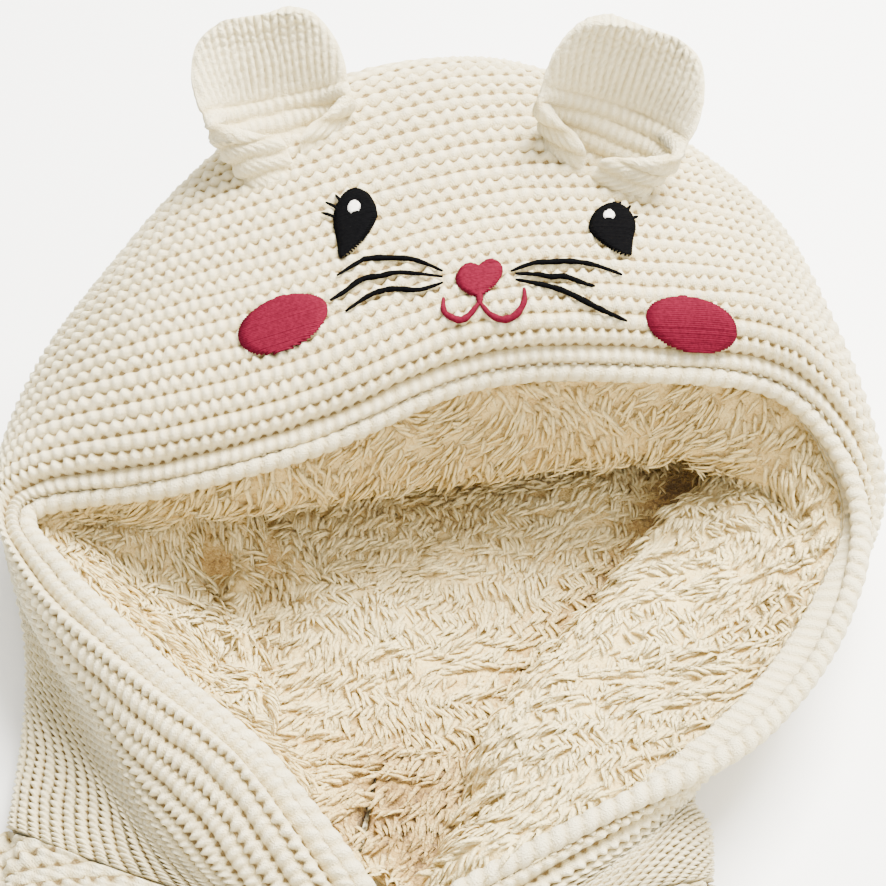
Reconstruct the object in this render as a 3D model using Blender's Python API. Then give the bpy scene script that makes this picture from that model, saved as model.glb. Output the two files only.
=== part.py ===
"""A hooded baby vest of cream knit, laid on its back with the hood puffed open.

Run with: blender --background --python part.py
Sizes are millimetres until a mesh is made, then metres. +X is the viewer's right, +Y runs from the hem
to the crown of the hood, +Z is up from the surface that the vest lies on.

The hood is drawn like a boat's hull, from a table of stations. Each station is one column of knitting:
it starts at the hood's front edge (the rim), runs back over the hood and down to the surface, and ends at
the seam down the middle of the back. Between stations the long lines (rim, brow, face, crown, side) are
smooth curves. Rows of knitting run along those lines, from the left neck over the top to the right neck.
"""

import math

import bmesh
import bpy
import numpy as np
from mathutils import Vector

MM = 0.001
WELD = 1e-6
SHARP = math.radians(40)
TUBE_SIDES = 8
PATCH_CELLS = 6
EMBROIDERY = 1.2  # height of the dense stitching above the knit

# Cloth
KNIT = 3.5  # wall of the chunky knit
FLEECE = 2.5  # wall of the sherpa lining
SEAM_GAP = 0.3  # between pieces that are sewn to each other
PILE_FLOOR = KNIT + SEAM_GAP + FLEECE  # height of the lining where it lies on the hood's back
LEAST_HOLLOW = 0.8  # left inside the lining where the hood lies flat
LIP_BACK = 2.0  # from the front edge back to where the lining starts
LIP_GAP = 1.5  # and in from the knit there
LIP_DOWN = 0.2  # of the way from there to the next line, to clear the rim's corners
LIP_TAPER = 35.0  # it is fully deep this far behind the rim
END_SHARE = 0.5  # of its depth, left at the neck seam
END_TAPER = 45.0  # it is fully deep this far from the neck seam
CLEAR = 11.0  # from the outside of the knit in to the pile, under the crown and at the sides
# By station: how far the slope behind the opening meets the hood's back in a crease
CREASE = (1, 1, 1, 1, 0.5, 0, 0, 0, 0, 0, 0.5, 1, 1, 1, 1)
LIP_SHARE = 0.7  # of the lining's depth, left where it is turned under the rim

# Hood: the rectangle of knitting it is made from, and how finely its walls are faceted
HOOD_HALF_RIM = 265.0  # front edge, from the centre of the brim to the neck seam
HOOD_DEPTH = 200.0  # from the front edge back to the centre back seam
HOOD_COLUMNS = 40  # facets along the rim
HOOD_ROWS = 18  # facets from the rim to the back seam
LINING_COLUMNS = 40
LINING_ROWS = 21  # three between neighbouring lines
EVEN_ROWS = 110.0  # rows keep their true pitch this far back from the rim
FLOOR_INSET = 12.0  # from the hood's widest line in to where it leaves the surface

# The hood's stations, from the left neck over the top to the right neck.
# Each long line has a row for each station, with the columns x, y, z.
RIM_LINE = (
    (-15, -37, 28),
    (-38, -9, 42),
    (-65, 15, 45),
    (-92, 43, 44),
    (-103, 66, 42),
    (-68, 65, 51),
    (-31, 71, 59),
    (9, 87, 66),
    (48, 90, 66),
    (87, 92, 57),
    (106, 68, 41),
    (93, 31, 32),
    (67, 0, 30),
    (33, -19, 28),
    (-2, -36, 24),
)
BROW_LINE = (
    (-24, -38, 29),
    (-43, -14, 44),
    (-70, 11, 46),
    (-98, 41, 43),
    (-109, 72, 44),
    (-70, 76, 62),
    (-32, 83, 71),
    (9, 98, 79),
    (50, 101, 77),
    (90, 102, 67),
    (110, 73, 39),
    (90, 33, 25),
    (64, 2, 24),
    (36, -21, 23),
    (4, -39, 23),
)
FACE_LINE = (
    (-38, -37, 26),
    (-57, -22, 31),
    (-76, 5, 34),
    (-102, 45, 33),
    (-112, 88, 42),
    (-77, 105, 69),
    (-37, 116, 80),
    (9, 131, 84),
    (54, 129, 81),
    (94, 118, 65),
    (113, 83, 34),
    (87, 35, 19),
    (62, 3, 19.5),
    (42, -18, 21),
    (16, -38, 21),
)
CROWN_LINE = (
    (-78, -20, 20.6),
    (-80, 0, 20.8),
    (-90, 26, 21),
    (-109, 62, 25),
    (-114, 104, 37),
    (-88, 137, 63),
    (-47, 174, 86),
    (9, 190, 93),
    (62, 174, 80),
    (98, 146, 58),
    (113, 97, 27),
    (84.5, 37, 13),
    (60, 4.5, 14),
    (53, -10, 20.6),
    (44, -28, 20.6),
)
SIDE_LINE = (
    (-99.2, -5.8, 10),
    (-101, 20, 10),
    (-105, 48, 12),
    (-115, 84, 20),
    (-111, 118, 28),
    (-93, 154, 36),
    (-50, 198, 48),
    (9, 220, 50),
    (63, 197, 45),
    (99, 157, 33),
    (108, 104, 17),
    (82, 40, 8),
    (58, 6.5, 8),
    (61, -7, 10),
    (60.2, -19.1, 10),
)
NAPE = (-19.5, -12.5)  # lower end of the hood's back seam
CROWN_END = (9.0, 180.0)  # upper end of the hood's back seam

# The lining hangs from the rim. Under the brim it is a soft roll: down its front (roll), round its keel, and
# up behind it (tuck). Down the sides the same lines are the slope of the fleece, and the tuck is the crease
# where it meets the back. Columns x, y, z of the pile.
ROLL_LINE = (
    (-19, -31, 20),
    (-34, -4, 30),
    (-60, 22, 32),
    (-84, 50, 33),
    (-93, 70, 32),
    (-64, 71, 34),
    (-31, 76, 35),
    (9, 88, 34),
    (47, 91, 35),
    (80, 89, 34),
    (95, 68, 31),
    (78, 36, 26),
    (54, 8, 25),
    (24, -13, 22),
    (-3, -33, 19),
)
KEEL_LINE = (
    (-22, -26, 15),
    (-32, 0, 20),
    (-57, 27, 20),
    (-75, 54, 22),
    (-88, 80, 25),
    (-60, 81, 26),
    (-30, 86, 26),
    (9, 98, 25),
    (47, 101, 26),
    (76, 98, 26),
    (90, 78, 24),
    (60, 42, 17),
    (36, 16, 15),
    (13, -4, 14),
    (-5, -28, 15),
)
TUCK_LINE = (
    (-24, -21, 10.5),
    (-30, 8, 7),
    (-50, 38, 7),
    (-62, 62, 8),
    (-84, 91, 22),
    (-64, 101, 31),
    (-30, 106, 33),
    (9, 120, 33),
    (48, 121, 33),
    (77, 114, 30),
    (86, 89, 19),
    (44, 54, 7),
    (22, 26, 7),
    (4, 3, 7),
    (-9, -24, 10.5),
)

STATIONS = len(RIM_LINE)


def unit(vectors):
    """Each vector at length 1."""
    return vectors / np.maximum(np.linalg.norm(vectors, axis=-1, keepdims=True), 1e-9)


def along(rows, at):
    """A smooth curve through evenly spaced rows, read at fractional row numbers."""
    rows = np.asarray(rows, float)
    at = np.clip(np.asarray(at, float), 0, len(rows) - 1)
    low = np.minimum(at.astype(int), len(rows) - 2)
    share = (at - low).reshape(at.shape + (1,) * (rows.ndim - 1))
    before, after = np.maximum(low - 1, 0), np.minimum(low + 2, len(rows) - 1)
    start, end = rows[low], rows[low + 1]
    leave, arrive = (end - rows[before]) / 2, (rows[after] - start) / 2
    square, cube = share**2, share**3
    return (
        (2 * cube - 3 * square + 1) * start
        + (cube - 2 * square + share) * leave
        + (3 * square - 2 * cube) * end
        + (cube - square) * arrive
    )


def outward_of(points):
    """The direction square to a grid of points, out of the hood: columns run along the rim, rows run back."""
    return unit(np.cross(np.gradient(points, axis=0), np.gradient(points, axis=1)))


def station_seam():
    """Where each station meets the back seam: in pairs, from the nape up to the crown."""
    share = 1 - np.abs(np.linspace(-1, 1, STATIONS))
    nape, crown = np.array(NAPE), np.array(CROWN_END)
    flat = nape + share[:, None] * (crown - nape)
    return np.column_stack([flat, np.zeros(STATIONS)])


def station_foot(side, seam, inset):
    """Where each station leaves the surface: in from the widest line, towards the seam."""
    inward = unit((seam - side) * (1, 1, 0))
    foot = side + inset * inward
    foot[:, 2] = seam[:, 2]
    return foot


def knit_controls():
    """The hood's control points: stations by lines by x, y, z."""
    lines = [np.array(line, float) for line in (RIM_LINE, BROW_LINE, FACE_LINE, CROWN_LINE, SIDE_LINE)]
    seam = station_seam()
    lines += [station_foot(lines[-1], seam, FLOOR_INSET), seam]
    return np.stack(lines, axis=1)


def lining_controls(outside):
    """The lining's control points: stations by lines by x, y, z of the pile."""
    knit = outside.controls
    crown, side, seam = knit[:, 3], knit[:, 4], knit[:, 6] + (0, 0, PILE_FLOOR)
    roll, keel, tuck = (np.array(line, float) for line in (ROLL_LINE, KEEL_LINE, TUCK_LINE))
    stations = np.linspace(-HOOD_HALF_RIM, HOOD_HALF_RIM, STATIONS)
    lip = outside.lifted_at(stations, LIP_BACK, -(KNIT + LIP_GAP + LIP_SHARE * FLEECE))
    lip = lip + LIP_DOWN * (roll - lip)
    inward = unit((seam - side) * (1, 1, 0))
    vault = crown + inward * CLEAR - (0, 0, CLEAR)
    haunch = side * (1, 1, 0.5) + inward * (FLOOR_INSET + 0.8 * CLEAR)
    foot = station_foot(side, seam, FLOOR_INSET + 2.3 * CLEAR)
    for points in (vault, haunch):
        points[:, 2] = np.maximum(points[:, 2], PILE_FLOOR + LEAST_HOLLOW)
    crease = np.array(CREASE)[:, None]
    behind = []
    for part, points in ((0.25, vault), (0.5, haunch), (0.75, foot)):
        behind.append(points + crease * (tuck + part * (seam - tuck) - points))
    return np.stack([lip, roll, keel, tuck, *behind, seam], axis=1)


class Hull:
    """A smooth sheet through control points: across is mm along the rim, back is mm from the rim."""

    FINE = 97  # samples of each column's curve

    def __init__(self, controls, lowest):
        self.controls = controls
        self.lowest = lowest

    def reach(self, back, walked):
        """How far along a column's curve each row lies."""
        whole = walked[-1]
        even = min(EVEN_ROWS, 0.6 * whole)
        rest = (whole - even) / (HOOD_DEPTH - EVEN_ROWS)
        return np.where(back < EVEN_ROWS, back * even / EVEN_ROWS, even + (back - EVEN_ROWS) * rest)

    def grid(self, across, back):
        """Points for every pair of the two lists: len(across) by len(back) by 3."""
        at = (np.asarray(across, float) / HOOD_HALF_RIM + 1) / 2 * (STATIONS - 1)
        rows = np.moveaxis(along(self.controls, at), 1, 0)
        curve = along(rows, np.linspace(0, len(rows) - 1, self.FINE))
        curve[..., 2] = np.maximum(curve[..., 2], self.lowest)
        steps = np.linalg.norm(np.diff(curve, axis=0), axis=-1)
        walked = np.concatenate([np.zeros((1, steps.shape[1])), np.cumsum(steps, axis=0)])
        back = np.asarray(back, float)
        points = np.empty((len(at), len(back), 3))
        for column in range(len(at)):
            reach = self.reach(back, walked[:, column])
            for axis in range(3):
                points[column, :, axis] = np.interp(reach, walked[:, column], curve[:, column, axis])
        return points

    def lifted(self, across, back, lift):
        """The grid moved out by lift, square to the sheet."""
        points = self.grid(across, back)
        return points + outward_of(points) * lift

    def at(self, across, back):
        """Points for paired numbers: across and back are arrays of one shape."""
        across, back = np.broadcast_arrays(np.asarray(across, float), np.asarray(back, float))
        pairs = zip(across.ravel(), back.ravel())
        points = [self.grid([column], [row])[0, 0] for column, row in pairs]
        return np.array(points).reshape(across.shape + (3,))

    def lifted_at(self, across, back, lift):
        """Paired points moved out by lift."""
        step = 1.0
        points = self.at(across, back)
        along_rim = self.at(across + step, back) - self.at(across - step, back)
        along_back = self.at(across, back + step) - self.at(across, back - step)
        return points + unit(np.cross(along_rim, along_back)) * lift

    def find(self, x, y):
        """The numbers across and back of the point of the upper face above x, y."""
        across, back, span = 0.0, 60.0, 150.0
        while span > 0.1:
            columns = across + np.linspace(-span, span, 13)
            rows = np.clip(back + np.linspace(-span, span, 13) * 0.4, 0, HOOD_DEPTH / 2)
            off = np.linalg.norm(self.grid(columns, rows)[..., :2] - (x, y), axis=-1)
            column, row = np.unravel_index(np.argmin(off), off.shape)
            across, back, span = columns[column], rows[row], span / 3
        return across, back


class Lining(Hull):
    """The lining's sheet: its rows keep to its long lines, so the roll and the tuck stay whole."""

    def reach(self, back, walked):
        return np.interp(back / HOOD_DEPTH * (self.FINE - 1), np.arange(self.FINE), walked)


# Ears: rows from the foot up, with the columns height, half width, roll in degrees, and how far the middle
# of the leaf lies behind the ear's axis
EAR = (
    (-7, 11, 330, 11),
    (2, 12, 330, 11.5),
    (8, 14, 305, 12),
    (13, 16.5, 220, 12),
    (18, 18.7, 150, 11),
    (24, 20.2, 105, 9),
    (32, 19.4, 70, 6),
    (39.5, 16, 45, 5),
    (44, 11.5, 35, 4),
    (46, 7, 30, 4),
)
EARS = (  # name, middle of the foot, axis, and the side the roll opens to
    ("ear_left", (-39, 150, 79), (-0.22, 0.55, 0.80), 1),
    ("ear_right", (40, 147, 80), (0.28, 0.25, 0.93), -1),
)
EAR_WALL = 4.5
SEAT_DEPTH = 24.0  # of the guide that cuts an ear's foot off
EAR_TWIST = 25.0  # the roll's opening is turned towards the middle of the head
EAR_COLUMNS = 12
EAR_ROWS = 11

# Body, in its own plan: x across, y up from the nape, which is its origin. It lies turned under the hood.
BODY_TURN = math.radians(-4.75)
NECK_HALF = 80.0
SHOULDER_TIP = (134.0, -14.0)
HEM = -345.0
HEM_HALF = 158.0
ARMHOLE = (  # half width, y
    (155, -140),
    (140, -121),
    (128, -95),
    (124, -65),
    (127, -38),
    SHOULDER_TIP,
)
BAND_HALF = 12.0
LEFT_BAND_TOP = (-6.7, -25.0)  # middle of the upper band where it meets the hood
RIGHT_BAND_TOP = (30.5, -23.0)
BAND_STRAIGHT = -75.0  # below this the bands lie one on the other
EDGE_ROUND = 18.0  # the fronts come down to the back over this width
NECK_RISE = 75.0  # the fronts rise to the hood's neck seam over this length
BACK_TOP = KNIT
LINING_TOP = BACK_TOP + SEAM_GAP + FLEECE
EDGE_TOP = BACK_TOP + SEAM_GAP + KNIT  # top of a front at its edges
FRONT_TOP = LINING_TOP + SEAM_GAP + KNIT  # top of a front inside its edges
BAND_STEP = KNIT + SEAM_GAP
FRONT_COLUMNS = 4
BAND_COLUMNS = 4
FRONT_RUN = EDGE_TOP - KNIT / 2  # height of the edging's middle along a front
BACK_RUN = KNIT / 2  # and along the back
BUTTON_ROWS = (-105, -170, -235, -300)
# Radius and height of each point of a button's outline
BUTTON = ((0, 0), (5.8, 0), (7.4, 1.0), (7.4, 2.2), (6.6, 3.0), (5.2, 2.9), (4.2, 2.2), (0, 2.1))
BUTTON_SIDES = 20
HOLE = 0.9
HOLE_APART = 3.4
BACK_COLUMNS = 12
ARMHOLE_ROWS = 10
EDGING = 1.6  # radius of the linked edge at armholes and hem
EDGING_SLACK = 0.9  # more room for it on the armhole's curve
HOOD_EDGING = 2.0
EDGING_SHARE = 0.8  # of the knit's depth, where the middle of the hood's edging lies


def smooth(share):
    """0 to 1 with level ends."""
    share = np.clip(share, 0, 1)
    return share * share * (3 - 2 * share)


def body_place(x, y):
    """Plan of the body to plan of the whole vest."""
    c, s = math.cos(BODY_TURN), math.sin(BODY_TURN)
    return NAPE[0] + x * c - y * s, NAPE[1] + x * s + y * c


def body_plan(x, y):
    """Plan of the whole vest to plan of the body."""
    c, s = math.cos(BODY_TURN), math.sin(BODY_TURN)
    x, y = x - NAPE[0], y - NAPE[1]
    return x * c + y * s, -x * s + y * c


def armhole_half(y):
    """Half width of the body at y, from the hem to the top of the shoulder."""
    rows = np.array(ARMHOLE, float)
    at = np.linspace(0, len(rows) - 1, 80)
    curve = along(rows, at)
    x = np.concatenate([[HEM_HALF], curve[:, 0], [NECK_HALF]])
    height = np.concatenate([[HEM], curve[:, 1], [0.0]])
    return np.interp(y, height, x)


def armhole_levels():
    """The rows of facets up an armhole, from the underarm to the tip of the shoulder."""
    return np.linspace(ARMHOLE[0][1], ARMHOLE[-1][1], ARMHOLE_ROWS + 1)


def neckline(hood_edge, side):
    """A front's side of the neck seam in body plan, from the opening out to the neck point: w, y and top z.

    w is the distance from the middle of the body towards this side, -1 for the left and 1 for the right."""
    x, y = body_plan(hood_edge[:, 0], hood_edge[:, 1])
    w = side * x
    out_to_neck = slice(0, int(np.argmax(w)) + 1)
    w = np.maximum.accumulate(w[out_to_neck] + np.arange(len(w[out_to_neck])) * 1e-6)
    return w, y[out_to_neck], hood_edge[out_to_neck, 2]


class Front:
    """One front panel and its band: their outlines and the height of their upper face."""

    def __init__(self, hood_edge, side):
        self.side = side
        self.neck_w, self.neck_y, self.neck_z = neckline(hood_edge, side)
        top = LEFT_BAND_TOP if side < 0 else RIGHT_BAND_TOP
        self.band_top = side * top[0]
        self.band_top_y = top[1]
        corner = self.band_top + BAND_HALF
        beyond = self.neck_w > corner
        start_y = np.interp(corner, self.neck_w, self.neck_y)
        seam_y = np.maximum.accumulate(np.append(start_y, self.neck_y[beyond]))
        seam_w = np.append(corner, self.neck_w[beyond])
        self.seam_y = seam_y - 1.5 * SEAM_GAP + np.arange(len(seam_y)) * 1e-6
        self.seam_w = seam_w + SEAM_GAP
        self.seam_w[0] = corner + SEAM_GAP

    def band_middle(self, y):
        return self.band_top * smooth((y - BAND_STRAIGHT) / (self.band_top_y - BAND_STRAIGHT))

    def inner(self, y):
        """Where the front starts: beside its band, then below the hood's neck seam."""
        beside = self.band_middle(y) + BAND_HALF + SEAM_GAP
        return np.where(y < self.seam_y[0], beside, np.interp(y, self.seam_y, self.seam_w))

    def top(self, w, y):
        """Height of the upper face."""
        shoulder = np.interp(w, (NECK_HALF, SHOULDER_TIP[0]), (0, SHOULDER_TIP[1]))
        inside = smooth((armhole_half(y) - w) / EDGE_ROUND) * smooth((y - HEM) / EDGE_ROUND)
        inside = inside * np.where(w > NECK_HALF - 12, smooth((shoulder - y) / EDGE_ROUND), 1)
        height = EDGE_TOP + (FRONT_TOP - EDGE_TOP) * inside
        if self.side < 0:
            beside = w - self.band_middle(y) - BAND_HALF
            height = height + BAND_STEP * smooth(1 - beside / (2 * BAND_HALF))
        below = np.maximum(0, np.interp(w, self.neck_w, self.neck_y) - y)
        share = smooth(1 - below / NECK_RISE) * smooth(1 - (w - NECK_HALF) / 30)
        return height + np.maximum(0, np.interp(w, self.neck_w, self.neck_z) - height) * share

    def levels(self):
        """Rows of facets from the hem up to the neck point, with one at each facet of the neck seam."""
        below = np.concatenate([np.linspace(HEM, HEM + EDGE_ROUND, 4), np.linspace(HEM + 50, HEM + 150, 3)])
        beside = armhole_levels()
        return np.concatenate([below, beside[beside < self.seam_y[0] - 5], self.seam_y])

    def panel(self):
        """Grid of w, y, z over the front."""
        y = self.levels()[None, :]
        inner = self.inner(y)
        edge = np.maximum(armhole_half(y), inner + 1)
        flat = np.linspace(0, 1, FRONT_COLUMNS + 1)[:, None]
        round_off = np.array((2 / 3, 1 / 3, 0))[:, None]
        rounded = np.minimum(EDGE_ROUND, (edge - inner) / 2)
        w = np.concatenate([inner + flat * (edge - rounded - inner), edge - round_off * rounded])
        y = np.repeat(y, len(w), axis=0)
        return np.stack([w, y, self.top(w, y)], axis=-1)

    def band(self):
        """Grid of w, y, z over the band."""
        levels = self.levels()
        levels = levels[: list(levels).index(self.seam_y[0]) + 1]
        across = np.linspace(-BAND_HALF, BAND_HALF, BAND_COLUMNS + 1)
        end = np.interp(self.band_top + across, self.neck_w, self.neck_y) - 4 * SEAM_GAP
        y = HEM + (levels[None, :] - HEM) / (levels[-1] - HEM) * (end[:, None] - HEM)
        w = self.band_middle(y) + across[:, None]
        return np.stack([w, y, self.top(w, y)], axis=-1)

    def placed(self, grid):
        """w, y, z to the whole vest's x, y, z."""
        x, y = body_place(self.side * grid[..., 0], grid[..., 1])
        return np.stack([x, y, grid[..., 2]], axis=-1)


def cloth_material(name, colour, roughness):
    material = bpy.data.materials.new(name)
    material.use_nodes = True
    surface = material.node_tree.nodes["Principled BSDF"]
    surface.inputs["Base Color"].default_value = (*colour, 1)
    surface.inputs["Roughness"].default_value = roughness
    surface.inputs["Metallic"].default_value = 0
    material.diffuse_color = (*colour, 1)
    return material


def finished(name, mesh, material):
    """The bmesh as a named object with its material."""
    data = bpy.data.meshes.new(name)
    mesh.to_mesh(data)
    mesh.free()
    data.materials.append(material)
    data.shade_smooth()
    data.set_sharp_from_angle(angle=SHARP)
    thing = bpy.data.objects.new(name, data)
    bpy.context.scene.collection.objects.link(thing)
    return thing


def wall(name, outer, inner, material, sewn_back=False):
    """A closed wall between two grids of points. sewn_back joins the two halves of the last row."""
    columns, rows = outer.shape[0] - 1, outer.shape[1] - 1
    mesh = bmesh.new()
    column_of = mesh.verts.layers.int.new("column")
    row_of = mesh.verts.layers.int.new("row")
    bmesh.ops.create_grid(mesh, x_segments=columns, y_segments=rows, size=1)
    for vert in mesh.verts:
        vert[column_of] = round((vert.co.x + 1) / 2 * columns)
        vert[row_of] = round((vert.co.y + 1) / 2 * rows)
    skin = set(mesh.verts)
    if sewn_back:
        for points in (outer, inner):
            points[:, -1] = (points[:, -1] + points[::-1, -1]) / 2
    bmesh.ops.extrude_face_region(mesh, geom=mesh.faces[:])
    for vert in mesh.verts:
        points = outer if vert in skin else inner
        vert.co = Vector(points[vert[column_of], vert[row_of]]) * MM
    if sewn_back:
        seam = [face for face in mesh.faces if all(vert[row_of] == rows for vert in face.verts)]
        bmesh.ops.delete(mesh, geom=seam, context="FACES")
        bmesh.ops.remove_doubles(mesh, verts=mesh.verts, dist=WELD)
    bmesh.ops.recalc_face_normals(mesh, faces=mesh.faces)
    return finished(name, mesh, material)


def tube(name, path, radius, material, closed=False):
    """A round tube along a path of points."""
    curve = bpy.data.curves.new(name, "CURVE")
    curve.dimensions = "3D"
    curve.bevel_depth = radius * MM
    curve.bevel_resolution = TUBE_SIDES // 4
    curve.use_fill_caps = not closed
    spline = curve.splines.new("POLY")
    spline.points.add(len(path) - 1)
    for point, place in zip(spline.points, path):
        point.co = (*(Vector(place) * MM), 1)
    spline.use_cyclic_u = closed
    curve.materials.append(material)
    thing = bpy.data.objects.new(name, curve)
    bpy.context.scene.collection.objects.link(thing)
    return thing


def disc(cells):
    """A square grid of points pressed into a disc of radius 1."""
    line = np.linspace(-1, 1, cells + 1)
    u, v = np.meshgrid(line, line, indexing="ij")
    return u * np.sqrt(1 - v * v / 2), v * np.sqrt(1 - u * u / 2)


def patch(name, hull, place, outline, material):
    """Dense embroidery on the hood: a low cushion about the place x, y. outline holds its x and y, in mm."""
    across, back = hull.find(*place)
    middle, beside, behind = hull.at([across, across + 1, across], [back, back, back + 1])
    x, y = outline
    across = across + x / np.linalg.norm(beside - middle)
    back = back + y / np.linalg.norm(behind - middle)
    u, v = disc(PATCH_CELLS)
    crown = 1 - (u * u + v * v) ** 2
    rise = (SEAM_GAP + EMBROIDERY * (0.55 + 0.45 * crown))[..., None]
    outer = hull.lifted_at(across, back, rise)
    inner = hull.lifted_at(across, back, SEAM_GAP)
    return wall(name, outer, inner, material)


def ellipse(half_width, half_height, turn=0.0):
    """A patch's points, turned by an angle in degrees."""
    u, v = disc(PATCH_CELLS)
    c, s = math.cos(math.radians(turn)), math.sin(math.radians(turn))
    x, y = u * half_width, v * half_height
    return x * c - y * s, x * s + y * c


def eye(half_width, half_height, outer_side):
    """An eye: round above, drawn to a point below on the outer side."""
    u, v = disc(PATCH_CELLS)
    low = np.clip(-v, 0, 1)
    narrow = 1 - 0.55 * low**1.5
    return half_width * (u * narrow + outer_side * 0.4 * low**2), half_height * v


def heart(half_width, half_height):
    """A heart: two lobes above, drawn to a point below."""
    u, v = disc(PATCH_CELLS)
    low = np.clip(-v, 0, 1)
    high = np.clip(v, 0, 1)
    x = half_width * u * (1 - 0.75 * low**1.3)
    y = half_height * (v - 0.5 * high * (1 - np.minimum(1, 2.2 * np.abs(u))) + 0.25 * np.abs(u) * (v > -0.4))
    return x, y


def columns_near(across):
    """The hood's own columns about an ear."""
    pitch = 2 * HOOD_HALF_RIM / HOOD_COLUMNS
    middle = round((across + HOOD_HALF_RIM) / pitch)
    return (np.arange(middle - 3, middle + 4)) * pitch - HOOD_HALF_RIM


def rows_near():
    """The hood's own rows about the ears."""
    return np.linspace(0, HOOD_DEPTH, HOOD_ROWS + 1)[4:14]


def ear(name, material, foot, up, turn):
    """A thick knitted leaf: flat at its tip, rolled round at its foot, where it is sewn to the hood.

    foot is the middle of the foot, up the leaf's axis. turn is 1 where the roll opens towards +X,
    -1 where it opens towards -X."""
    up = unit(np.array(up, float))
    across = unit(np.array((1.0, 0.0, 0.0)) - up * up[0])
    forward = np.cross(across, up)
    share = np.linspace(0, 1, EAR_ROWS + 1)
    rows = along(np.array(EAR, float), share * (len(EAR) - 1))
    line = np.linspace(-1, 1, EAR_COLUMNS + 1)
    faces = []
    for inset in (0.0, EAR_WALL):
        points = np.empty((EAR_COLUMNS + 1, EAR_ROWS + 1, 3))
        for row, (height, half_width, roll, behind) in enumerate(rows):
            half_roll = math.radians(roll) / 2
            radius = half_width / math.sin(min(half_roll, math.pi / 2))
            angle = line * half_roll
            x = (radius - inset) * np.sin(angle)
            y = radius - behind - (radius - inset) * np.cos(angle)
            twist = math.radians(EAR_TWIST) * turn * (1 - share[row])
            turned = x * math.cos(twist) + y * math.sin(twist), y * math.cos(twist) - x * math.sin(twist)
            points[:, row] = np.array(foot, float) + up * height + np.outer(turned[0], across)
            points[:, row] += np.outer(turned[1], forward)
        faces.append(points)
    return wall(name, faces[0], faces[1], material)


def seat(thing, hull, columns, rows):
    """Cut the ear's foot off two seam gaps above the hood, with a guide made of the hood's facets."""
    top = hull.lifted(columns, rows, 2 * SEAM_GAP)
    below = hull.lifted(columns, rows, -SEAT_DEPTH)
    guide = wall(thing.name + "_cutter", top, below, thing.data.materials[0])
    guide.hide_render = True
    guide.display_type = "WIRE"
    cut = thing.modifiers.new("seat", "BOOLEAN")
    cut.object = guide
    cut.operation = "DIFFERENCE"
    cut.solver = "EXACT"
    return guide


def button_piece(name, material, place):
    """A round button with a dished face and four sewing holes."""
    mesh = bmesh.new()
    outline = [(r * MM, 0, z * MM) for r, z in BUTTON]
    verts = [mesh.verts.new(point) for point in outline]
    edges = [mesh.edges.new(pair) for pair in zip(verts, verts[1:])]
    bmesh.ops.spin(
        mesh, geom=verts + edges, cent=(0, 0, 0), axis=(0, 0, 1), angle=2 * math.pi,
        steps=BUTTON_SIDES, use_merge=True,
    )
    bmesh.ops.remove_doubles(mesh, verts=mesh.verts, dist=WELD)
    bmesh.ops.recalc_face_normals(mesh, faces=mesh.faces)
    thing = finished(name, mesh, material)
    thing.location = Vector(place) * MM
    holes = bmesh.new()
    for x in (-1, 1):
        for y in (-1, 1):
            made = bmesh.ops.create_cone(
                holes, cap_ends=True, segments=8, radius1=HOLE * MM, radius2=HOLE * MM, depth=20 * MM
            )
            bmesh.ops.translate(holes, verts=made["verts"], vec=Vector((x, y, 0)) * HOLE_APART / 2 * MM)
    drill = finished(name + "_cutter", holes, material)
    drill.parent = thing
    drill.hide_render = True
    drill.display_type = "WIRE"
    cut = thing.modifiers.new("holes", "BOOLEAN")
    cut.object = drill
    cut.operation = "DIFFERENCE"
    cut.solver = "EXACT"
    return thing


def armhole_path(side):
    """A closed run round one armhole: up the front's edge, over the shoulder, and down the back's."""
    y = armhole_levels()
    edge = np.column_stack([armhole_half(y), y])
    run = np.gradient(edge, axis=0)
    edge = edge + unit(np.column_stack([run[:, 1], -run[:, 0]])) * (EDGING + SEAM_GAP + EDGING_SLACK)
    edge = edge[1:-1]
    front = np.column_stack([edge, np.full(len(edge), FRONT_RUN)])
    back = np.column_stack([edge, np.full(len(edge), BACK_RUN)])[::-1]
    over = turn_round(front[-1], back[0], (*unit(edge[-1] - edge[-2]), 0))
    under = turn_round(back[-1], front[0], (*unit(edge[0] - edge[1]), 0))
    run = np.concatenate([front, over, back, under])
    x, y = body_place(side * run[:, 0], run[:, 1])
    return np.stack([x, y, run[:, 2]], axis=-1)


def turn_round(start, end, outward):
    """The points of a half turn from one run of edging to the other."""
    middle = (start + end) / 2
    angle = np.radians((45, 90, 135))[:, None]
    radius = np.linalg.norm(start - middle)
    return middle + np.cos(angle) * (start - middle) + np.sin(angle) * radius * np.array(outward, float)


def hem_path(fronts):
    """An open run along the hem: from the upper band round the back to the lower band."""
    left, right = fronts
    reach = HEM_HALF - 2
    w = np.linspace(-BAND_HALF, reach, 16)
    y = HEM - EDGING - SEAM_GAP
    level = np.full_like(w, y)
    front_left = np.stack([-w, level, left.top(w, np.full_like(w, HEM)) - KNIT / 2], axis=-1)
    front_right = np.stack([w, level, right.top(w, np.full_like(w, HEM)) - KNIT / 2], axis=-1)[::-1]
    x = np.linspace(-reach, reach, 10)
    back = np.stack([x, np.full_like(x, y), np.full_like(x, BACK_RUN)], axis=-1)
    over = turn_round(front_left[-1], back[0], (-1, 0, 0))
    under = turn_round(back[-1], front_right[0], (1, 0, 0))
    run = np.concatenate([front_left, over, back, under, front_right])
    x, y = body_place(run[:, 0], run[:, 1])
    return np.stack([x, y, run[:, 2]], axis=-1)


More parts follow.
